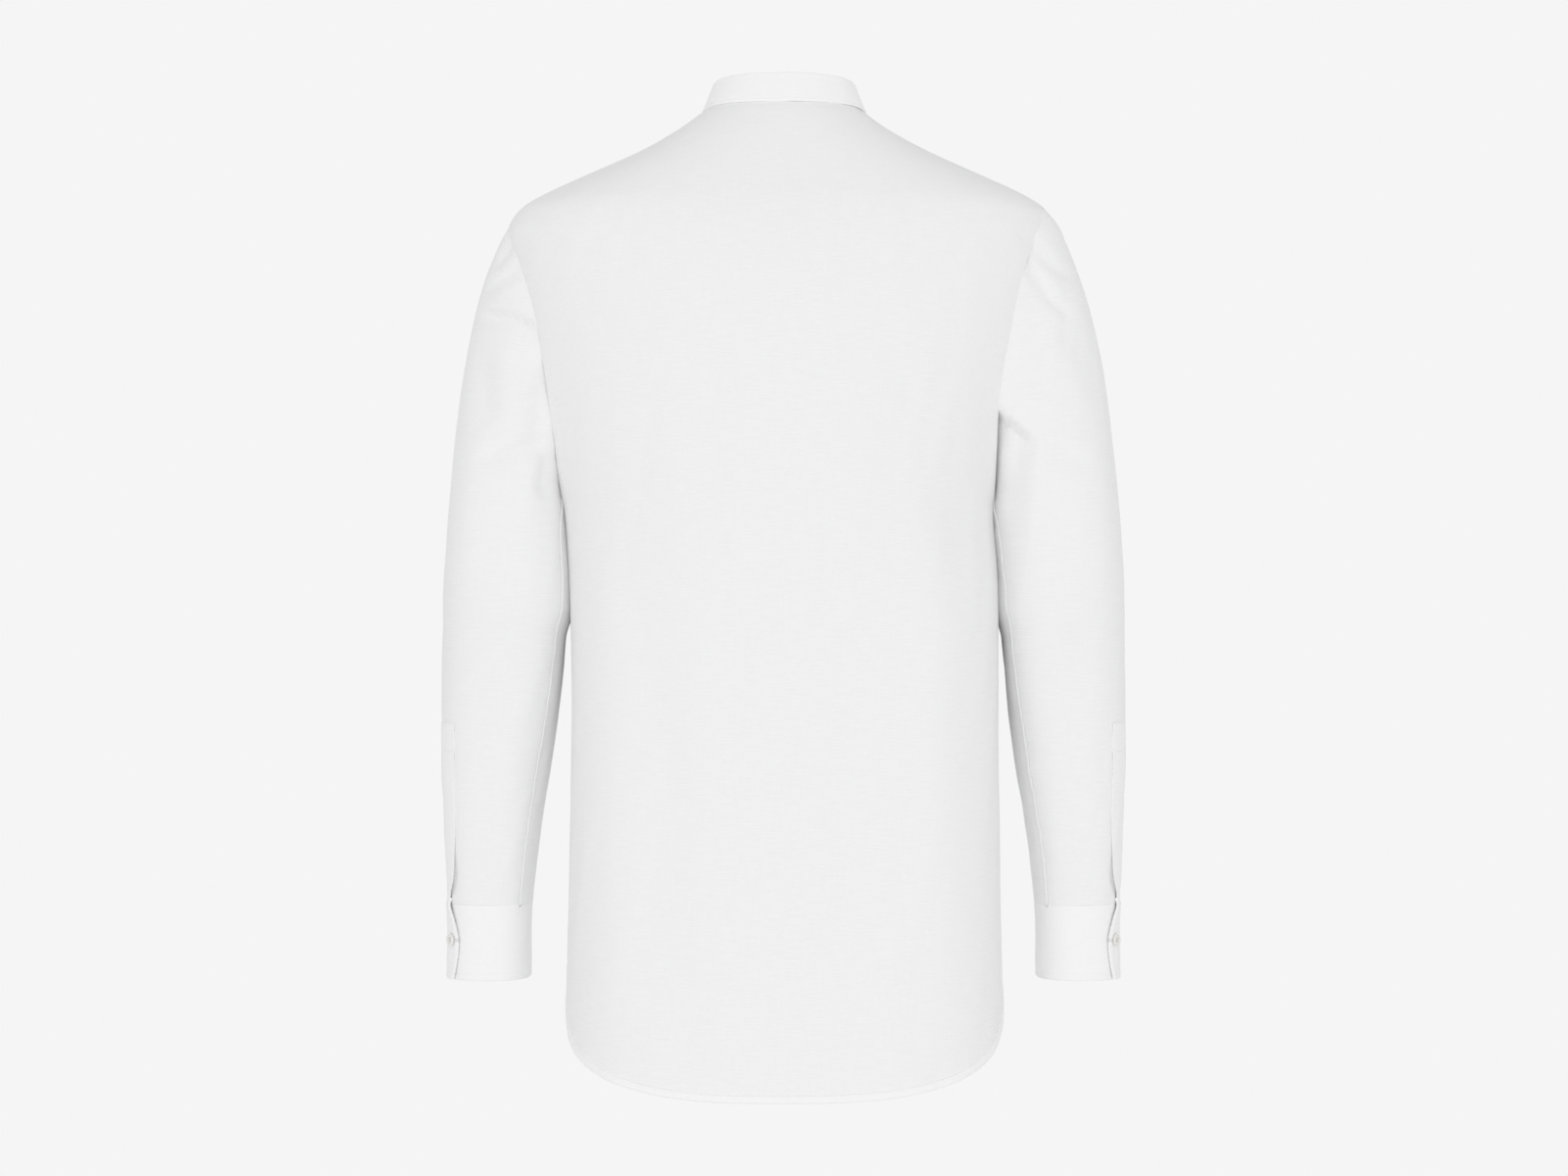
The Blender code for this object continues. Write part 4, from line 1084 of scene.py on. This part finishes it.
def band_heights(angle):
    """Height of the band at an angle: its ends are rounded."""
    into_corner = np.maximum(BAND_CORNER - (BAND_END - np.abs(angle)) * NECK_FRONT, 0.0)
    return BAND_HEIGHT - BAND_CORNER + np.sqrt(np.maximum(BAND_CORNER**2 - into_corner**2, 0.0))


def band_face(angle, up):
    """Face of the band with its stitching."""
    from_end = (BAND_END - np.abs(angle)) * NECK_FRONT
    edge = np.minimum(band_heights(angle) - up, from_end)
    relief = stitched_relief(up, BAND_LOW_STITCH) + 0.6 * stitched_relief(edge, BAND_STITCH)
    return band_skin(angle, up, relief + 0.0006 * soft_noise(angle * NECK_RADIUS, up, 0.014, 0.05, 31))


def collar_band(material):
    length = 2 * BAND_END * NECK_RADIUS
    angles = steps_along(length, 200) / length * 2 * BAND_END - BAND_END
    up = steps_along(BAND_HEIGHT, 26)[:, None] / BAND_HEIGHT * band_heights(angles)
    angle = np.broadcast_to(angles, up.shape)
    points, _ = band_face(angle, up)
    return shell("collar_band_cloth", points, BAND_CLOTH, material, (angle * NECK_RADIUS, up), soft=0.0008)


# ---- stitches --------------------------------------------------------------------------------
def bead_shape():
    """A stitch lying along X, as rings of points and its faces: it dips into the cloth at both ends."""
    stations = ((-0.50, 0.30, -0.55), (-0.40, 0.85, -0.10), (-0.15, 1.0, 0.12), (0.15, 1.0, 0.12),
                (0.40, 0.85, -0.10), (0.50, 0.30, -0.55))
    turns = [2 * pi * k / BEAD_SIDES for k in range(BEAD_SIDES)]
    points = [(along, size * sin(turn), size * cos(turn) + rise)
              for along, size, rise in stations for turn in turns]
    corners = [(r * BEAD_SIDES + k, r * BEAD_SIDES + (k + 1) % BEAD_SIDES)
               for r in range(len(stations) - 1) for k in range(BEAD_SIDES)]
    return np.array(points), np.array([(a, b, b + BEAD_SIDES, a + BEAD_SIDES) for a, b in corners])


BEAD_POINTS, BEAD_FACES = bead_shape()


def along_line(points, normals, pitch):
    """Evenly spaced places on a line across cloth: points, directions and normals."""
    length = run_lengths(points[None], 1)[0]
    count = max(int(length[-1] / pitch), 1)
    at = (np.arange(count) + 0.5) * length[-1] / count

    def take(values, where):
        return np.stack([np.interp(where, length, values[:, k]) for k in range(3)], -1)

    direction = unit(take(points, at + pitch * 0.3) - take(points, at - pitch * 0.3))
    return take(points, at), direction, unit(take(normals, at))


def beads(places, directions, normals, length, radius):
    """Vertices of one stitch at each place."""
    side = unit(np.cross(normals, directions))
    x = directions[:, None, :] * (BEAD_POINTS[None, :, 0, None] * length)
    y = side[:, None, :] * (BEAD_POINTS[None, :, 1, None] * radius)
    z = normals[:, None, :] * (BEAD_POINTS[None, :, 2, None] * radius)
    return places[:, None, :] + x + y + z


def bead_mesh(name, groups, material):
    """One mesh of all the stitches in groups of bead vertices."""
    vertices = np.concatenate([group.reshape(-1, 3) for group in groups])
    first = np.arange(0, len(vertices), len(BEAD_POINTS))
    return new_mesh(name, vertices, (BEAD_FACES[None] + first[:, None, None]).reshape(-1, 4), material)


def stitch_piece(name, groups, material):
    return add_piece(name, bead_mesh(name, groups, material))


def row_of_stitches(face, *places):
    """Stitches along a line of places on a face(places) -> points, normals."""
    points, normals = face(*np.broadcast_arrays(*places))
    at, direction, normal = along_line(points, normals, STITCH_PITCH)
    return beads(at + normal * STITCH_RADIUS * 0.1, direction, normal, STITCH_LENGTH, STITCH_RADIUS)


def buttonhole(face, half):
    """A worked buttonhole: close bars square to it on both sides of its slit.

    face(u, v) -> points and normals of places u along and v across the slit, which is twice `half` long.
    """
    groups = []
    u = np.arange(-half, half + 1e-9, BAR_PITCH)
    for middle in (BAR_PLACE, -BAR_PLACE):
        v = np.full(u.shape, middle)
        points, normals = face(u, v)
        tips, _ = face(u, v + BAR_STEP)
        groups.append(beads(points, unit(tips - points), normals, BAR_LENGTH, BAR_RADIUS))
    return groups


def hem_stitches(material):
    side, end = pi / 2, pi + FRONT_LAP / HEM_DEPTH - 0.01
    groups = []
    for start, stop in ((0.01 - side, side - 0.01), (side + 0.01, end), (-end, -side - 0.01)):
        angle = np.linspace(start, stop, 900)
        groups.append(row_of_stitches(hem_face, angle, HEM_STITCH, hem_lift(angle)))
    return stitch_piece("hem_stitches", groups, material)


def cuff_stitches(side, material):
    face = partial(cuff_face, side)
    low, high = CUFF_BOTTOM + TOPSTITCH, CUFF_TOP - 0.0017
    groups = []
    for level in (low, high):
        turn = np.linspace(radians(CUFF_UNDERLAP) + 1.0, cuff_end(level) - TOPSTITCH / CUFF_RADIUS, 500)
        groups.append(row_of_stitches(face, turn, level))
    z = np.linspace(low, high, 60)
    groups.append(row_of_stitches(face, cuff_end(z) - TOPSTITCH / CUFF_RADIUS, z))
    hole = 2 * pi + CUFF_BUTTON_TURN
    groups += buttonhole(lambda u, v: face(hole + (0.0015 + u) / CUFF_RADIUS, CUFF_BUTTON_LEVEL + v), 0.0070)
    return stitch_piece("cuff_%s_stitches" % side, groups, material)


def placket_stitches(side, material):
    face = partial(placket_face, side)
    z = np.linspace(CUFF_TOP + 0.002, PLACKET_TOP - PLACKET_STITCH, 200)
    away = np.linspace(PLACKET_STITCH, PLACKET_WIDTH - PLACKET_STITCH, 40)
    groups = [row_of_stitches(face, inset, z) for inset in (away[0], away[-1])]
    groups += [row_of_stitches(face, away, level) for level in (z[-1], PLACKET_TOP - PLACKET_BOX)]
    return stitch_piece("sleeve_placket_%s_stitches" % side, groups, material)


def band_stitches(material):
    groups = []
    for inset, height in ((0.004, lambda angle: BAND_LOW_STITCH),
                          (0.006, lambda angle: band_heights(angle) - BAND_STITCH)):
        end = BAND_END - inset / NECK_FRONT
        angle = np.linspace(-end, end, 900)
        groups.append(row_of_stitches(band_face, angle, height(angle)))
    groups += buttonhole(lambda u, v: band_face(pi + u / NECK_FRONT, BAND_HEIGHT / 2 + v), 0.0065)
    return stitch_piece("collar_band_stitches", groups, material)


def seam_stitches(side, material):
    """Two rows along the sleeve's felled underarm seam."""
    down = np.linspace(0.03, 1.985, 500)
    level = underarm_level(side, down)
    groups = []
    for inset in SEAM_STITCHES:
        turn = shared_out(side, seam_turn(level) + inset / SLEEVE_RADIUS, down)
        lift = FELL_LIFT * (1 - smooth(inset / FELL_FADE)) + near_cuff(level) * sleeve_seat(turn)
        groups.append(row_of_stitches(partial(sleeve_skin, side), turn, down, lift))
    return stitch_piece("sleeve_%s_stitches" % side, groups, material)


def front_stitches(material):
    """Two rows down the left front's doubled edge, and its buttonholes."""
    levels = np.linspace(HEM_SIDE + hem_level(pi) + 0.008, neck_level(pi) - 0.004, 700)
    face = partial(front_skin, "left")
    groups = [row_of_stitches(face, pi + (FRONT_LAP - inset) / read(TORSO, "front", levels), levels)
              for inset in FRONT_STITCHES]
    for level in FRONT_BUTTON_LEVELS:
        depth = read(TORSO, "front", level)
        groups += buttonhole(lambda u, v: face(pi + v / depth, level + u), 0.0080)
    return stitch_piece("front_left_stitches", groups, material)


# ---- buttons ---------------------------------------------------------------------------------
def button_blank():
    """A button without its holes: rounded rim, dished middle, flat back; its face is towards +Z."""
    work = bmesh.new()
    ring = [work.verts.new((x * BUTTON_RADIUS, 0.0, z * BUTTON_THICKNESS)) for x, z in BUTTON_PROFILE]
    edges = [work.edges.new(pair) for pair in zip(ring[:-1], ring[1:])]
    bmesh.ops.spin(work, geom=ring + edges, cent=(0, 0, 0), axis=(0, 0, 1), angle=2 * pi, steps=40,
                   use_merge=True)
    bmesh.ops.remove_doubles(work, verts=work.verts, dist=1e-6)
    bmesh.ops.recalc_face_normals(work, faces=work.faces)
    return work


def button_holes():
    work = bmesh.new()
    for x, y in ((1, 1), (1, -1), (-1, 1), (-1, -1)):
        place = Matrix.Translation((x * HOLE_PLACE, y * HOLE_PLACE, BUTTON_THICKNESS / 2))
        bmesh.ops.create_cone(work, cap_ends=True, segments=14, radius1=HOLE_RADIUS, radius2=HOLE_RADIUS,
                              depth=2 * BUTTON_THICKNESS, matrix=place)
    return work


def button_mesh(material):
    """A four-hole button."""
    pieces = []
    for name, work in (("button_blank", button_blank()), ("button_holes", button_holes())):
        mesh = bpy.data.meshes.new(name)
        work.to_mesh(mesh)
        work.free()
        pieces.append(bpy.data.objects.new(name, mesh))
        bpy.context.scene.collection.objects.link(pieces[-1])
    blank, holes = pieces
    drill = blank.modifiers.new("holes", "BOOLEAN")
    drill.operation, drill.object, drill.solver = "DIFFERENCE", holes, "EXACT"
    face = bpy.data.meshes.new_from_object(blank.evaluated_get(bpy.context.evaluated_depsgraph_get()))
    for piece in pieces:
        bpy.data.objects.remove(piece)
    face.name = "button_face"
    face.shade_smooth()
    face.set_sharp_from_angle(angle=radians(50))
    face.materials.clear()
    face.materials.append(material)
    return face


def thread_mesh(material):
    """Two crossed bars of thread through a button's holes."""
    groups = []
    up = np.array([[0.0, 0.0, 1.0]])
    for x, y in ((1, 1), (1, -1)):
        direction = unit(np.array([[x, y, 0.0]], float))
        level = up * (BUTTON_THICKNESS * 0.72 + 0.00012 * (x == y))
        for shift in (-THREAD_APART, 0.0, THREAD_APART):
            place = level + np.cross(up, direction) * shift
            groups.append(beads(place, direction, up, HOLE_PLACE * 3.3, THREAD_RADIUS))
    return bead_mesh("button_thread", groups, material)


def sew_button(node, face, thread, place, turn):
    """A button and its thread on a place of the cloth, given as grids of one point and one normal."""
    point, normal = (Vector(values[0]) for values in place)
    across = Vector((0, 0, 1)).cross(normal).normalized()
    turned = Matrix((across, normal.cross(across), normal)).transposed() @ Matrix.Rotation(turn, 3, "Z")
    seat = Matrix.Translation(point + normal * BUTTON_SEAT) @ turned.to_4x4()
    add_piece(node + "_face", face, node, seat)
    add_piece(node + "_thread", thread, place=seat)


def buttons(button_material, thread_material):
    face, thread = button_mesh(button_material), thread_mesh(thread_material)
    turns = iter(BUTTON_TURNS)
    for k, level in enumerate(FRONT_BUTTON_LEVELS):
        place = front_skin("left", np.array([pi]), np.array([level]))
        sew_button("button_front_%d" % (k + 1), face, thread, place, next(turns))
    place = band_skin(np.array([pi]), np.array([BAND_HEIGHT / 2]))
    sew_button("button_collar", face, thread, place, next(turns))
    for side in SIGN:
        place = cuff_skin(side, np.array([2 * pi + CUFF_BUTTON_TURN]), np.array([CUFF_BUTTON_LEVEL]))
        sew_button("button_cuff_" + side, face, thread, place, next(turns))


# ---- materials -------------------------------------------------------------------------------
def set_inputs(tree, node, values):
    """Sets or connects inputs of a node, each under its name or number."""
    for key, value in values.items():
        if isinstance(value, bpy.types.NodeSocket):
            tree.links.new(value, node.inputs[key])
        else:
            node.inputs[key].default_value = value


def add_node(tree, kind, inputs=None, **settings):
    """A new shader node with its settings and inputs."""
    node = tree.nodes.new("ShaderNode" + kind)
    for key, value in settings.items():
        setattr(node, key, value)
    set_inputs(tree, node, inputs or {})
    return node


def calc(tree, operation, *values):
    return add_node(tree, "Math", dict(enumerate(values)), operation=operation).outputs[0]


def weave_group():
    """Plain weave with uneven yarns on the flat cloth's own measure."""
    tree = bpy.data.node_groups.new("plain_weave", "ShaderNodeTree")
    for label, kind, default in (("Yarn Pitch", "Float", 0.0005), ("Slub", "Float", 1.0),
                                 ("Color", "Color", (0.8, 0.8, 0.8, 1.0))):
        socket = tree.interface.new_socket(label, in_out="INPUT", socket_type="NodeSocket" + kind)
        socket.default_value = default
    for label, kind in (("Color", "Color"), ("Height", "Float")):
        tree.interface.new_socket(label, in_out="OUTPUT", socket_type="NodeSocket" + kind)
    given, result = tree.nodes.new("NodeGroupInput").outputs, tree.nodes.new("NodeGroupOutput")
    split = add_node(tree, "SeparateXYZ", {0: add_node(tree, "UVMap", uv_map="cut").outputs["UV"]}).outputs
    u, v = split["X"], split["Y"]
    pace = calc(tree, "DIVIDE", pi, given["Yarn Pitch"])
    warp, weft = (calc(tree, "SINE", calc(tree, "MULTIPLY", place, pace)) for place in (u, v))
    slub = 0.0
    for scale_u, scale_v, share in YARNS:
        stretched = add_node(tree, "CombineXYZ", {0: calc(tree, "MULTIPLY", u, scale_u),
                                                  1: calc(tree, "MULTIPLY", v, scale_v)}).outputs[0]
        inputs = {"Vector": stretched, "Scale": 1.0, "Detail": 1.0}
        noise = add_node(tree, "TexNoise", inputs, noise_dimensions="2D")
        uneven = calc(tree, "SUBTRACT", noise.outputs[0], 0.5)
        slub = calc(tree, "ADD", calc(tree, "MULTIPLY", uneven, share), slub)
    slub = calc(tree, "MULTIPLY", slub, given["Slub"])
    tone = calc(tree, "MULTIPLY_ADD", slub, 0.055, 1.0)
    tinted = add_node(tree, "VectorMath", {0: given["Color"], "Scale": tone}, operation="SCALE").outputs[0]
    height = calc(tree, "ADD", calc(tree, "MULTIPLY", calc(tree, "MULTIPLY", warp, weft), 0.30), slub)
    set_inputs(tree, result, {"Color": tinted, "Height": height})
    return tree


WEAVE = weave_group()


def new_material(name, inputs):
    """A material whose surface has the inputs that inputs(tree) gives."""
    material = bpy.data.materials.new(name)
    material.use_nodes = True
    tree = material.node_tree
    set_inputs(tree, tree.nodes["Principled BSDF"], inputs(tree))
    return material


def cloth_material(name, colour, slub, depth):
    """Matte woven cotton with a faint sheen."""
    def inputs(tree):
        weave = add_node(tree, "Group", node_tree=WEAVE)
        set_inputs(tree, weave, {"Color": (*colour, 1.0), "Slub": slub, "Yarn Pitch": YARN_PITCH})
        bump = add_node(tree, "Bump", {"Strength": 1.0, "Distance": depth, "Height": weave.outputs["Height"]})
        return {"Base Color": weave.outputs["Color"], "Normal": bump.outputs["Normal"], "Roughness": 0.92,
                "Specular IOR Level": 0.18, "Sheen Weight": 0.05, "Sheen Roughness": 0.5}

    return new_material(name, inputs)


def thread_material():
    """White sewing thread, twisted from plies."""
    def inputs(tree):
        place = add_node(tree, "TexCoord").outputs["Object"]
        plies = add_node(tree, "TexNoise", {"Vector": place, "Scale": 3500.0, "Detail": 1.0}).outputs[0]
        ramp = add_node(tree, "ValToRGB", {"Fac": plies})
        darker, lighter = ramp.color_ramp.elements
        darker.color = (0.78, 0.78, 0.775, 1.0)
        lighter.color = (0.88, 0.88, 0.875, 1.0)
        return {"Base Color": ramp.outputs["Color"], "Roughness": 0.55}

    return new_material("thread", inputs)


def button_material():
    """Pale polyester imitating shell: faint cloudy bands under a gloss."""
    def inputs(tree):
        place = add_node(tree, "TexCoord").outputs["Object"]
        values = {"Vector": place, "Scale": 260.0, "Detail": 3.0, "Distortion": 1.2}
        ramp = add_node(tree, "ValToRGB", {"Fac": add_node(tree, "TexNoise", values).outputs[0]})
        darker, lighter = ramp.color_ramp.elements
        darker.position, darker.color = 0.3, (0.80, 0.79, 0.76, 1.0)
        lighter.position, lighter.color = 0.7, (0.92, 0.91, 0.89, 1.0)
        return {"Base Color": ramp.outputs["Color"], "Roughness": 0.22, "Coat Weight": 0.4,
                "Coat Roughness": 0.08}

    return new_material("button", inputs)


# ---- light and camera ------------------------------------------------------------------------
def studio_light():
    """Soft light from all round, stronger from behind and before the shirt than from its sides."""
    world = bpy.data.worlds.new("studio")
    bpy.context.scene.world = world
    world.use_nodes = True
    tree = world.node_tree
    tree.nodes.clear()
    direction = add_node(tree, "TexCoord").outputs["Generated"]
    split = add_node(tree, "SeparateXYZ", {0: direction}).outputs
    facing = calc(tree, "POWER", calc(tree, "ABSOLUTE", split["Y"]), 4.0)
    upright = calc(tree, "MULTIPLY", calc(tree, "ABSOLUTE", split["Z"]), LESS_UP_AND_DOWN)
    strength = calc(tree, "SUBTRACT", calc(tree, "MULTIPLY_ADD", facing, FACING_LIGHT, ROUND_LIGHT), upright)
    light = add_node(tree, "Background", {"Color": (1.0, 1.0, 1.0, 1.0), "Strength": strength})
    seen = add_node(tree, "Background", {"Color": BACKGROUND})
    path = add_node(tree, "LightPath").outputs["Is Camera Ray"]
    mix = add_node(tree, "MixShader", {"Fac": path, 1: light.outputs[0], 2: seen.outputs[0]})
    add_node(tree, "OutputWorld", {"Surface": mix.outputs[0]})


def camera():
    """Level with the middle of the shirt, behind it."""
    data = bpy.data.cameras.new("camera")
    data.sensor_width = 36.0
    data.lens = LENS
    piece = bpy.data.objects.new("camera", data)
    bpy.context.scene.collection.objects.link(piece)
    piece.location = CAMERA_PLACE
    piece.rotation_euler = (pi / 2, 0.0, pi)
    bpy.context.scene.camera = piece
    bpy.context.scene.view_settings.view_transform = "Standard"


def build_shirt():
    shirting = cloth_material("shirting", (0.930, 0.930, 0.932), 1.0, 0.00010)
    doubled = cloth_material("doubled_shirting", (0.955, 0.955, 0.956), 0.7, 0.00008)
    thread = thread_material()
    front_end = pi + FRONT_LAP / HEM_DEPTH
    single = [back_panel(shirting), hem_strip("back_hem", -pi / 2, pi / 2, doubled),
              front_panel("left", shirting), front_panel("right", shirting),
              hem_strip("front_left_hem", pi / 2, front_end, doubled),
              hem_strip("front_right_hem", -pi / 2, -front_end, doubled),
              sleeve("left", shirting), sleeve("right", shirting)]
    double = [collar_band(doubled)] + [make(side, doubled) for side in SIGN for make in (cuff, placket)]
    rows = [make(thread) for make in (hem_stitches, band_stitches, front_stitches)]
    rows += [make(side, thread) for side in SIGN for make in (cuff_stitches, placket_stitches, seam_stitches)]
    buttons(button_material(), thread)


studio_light()
camera()
build_shirt()
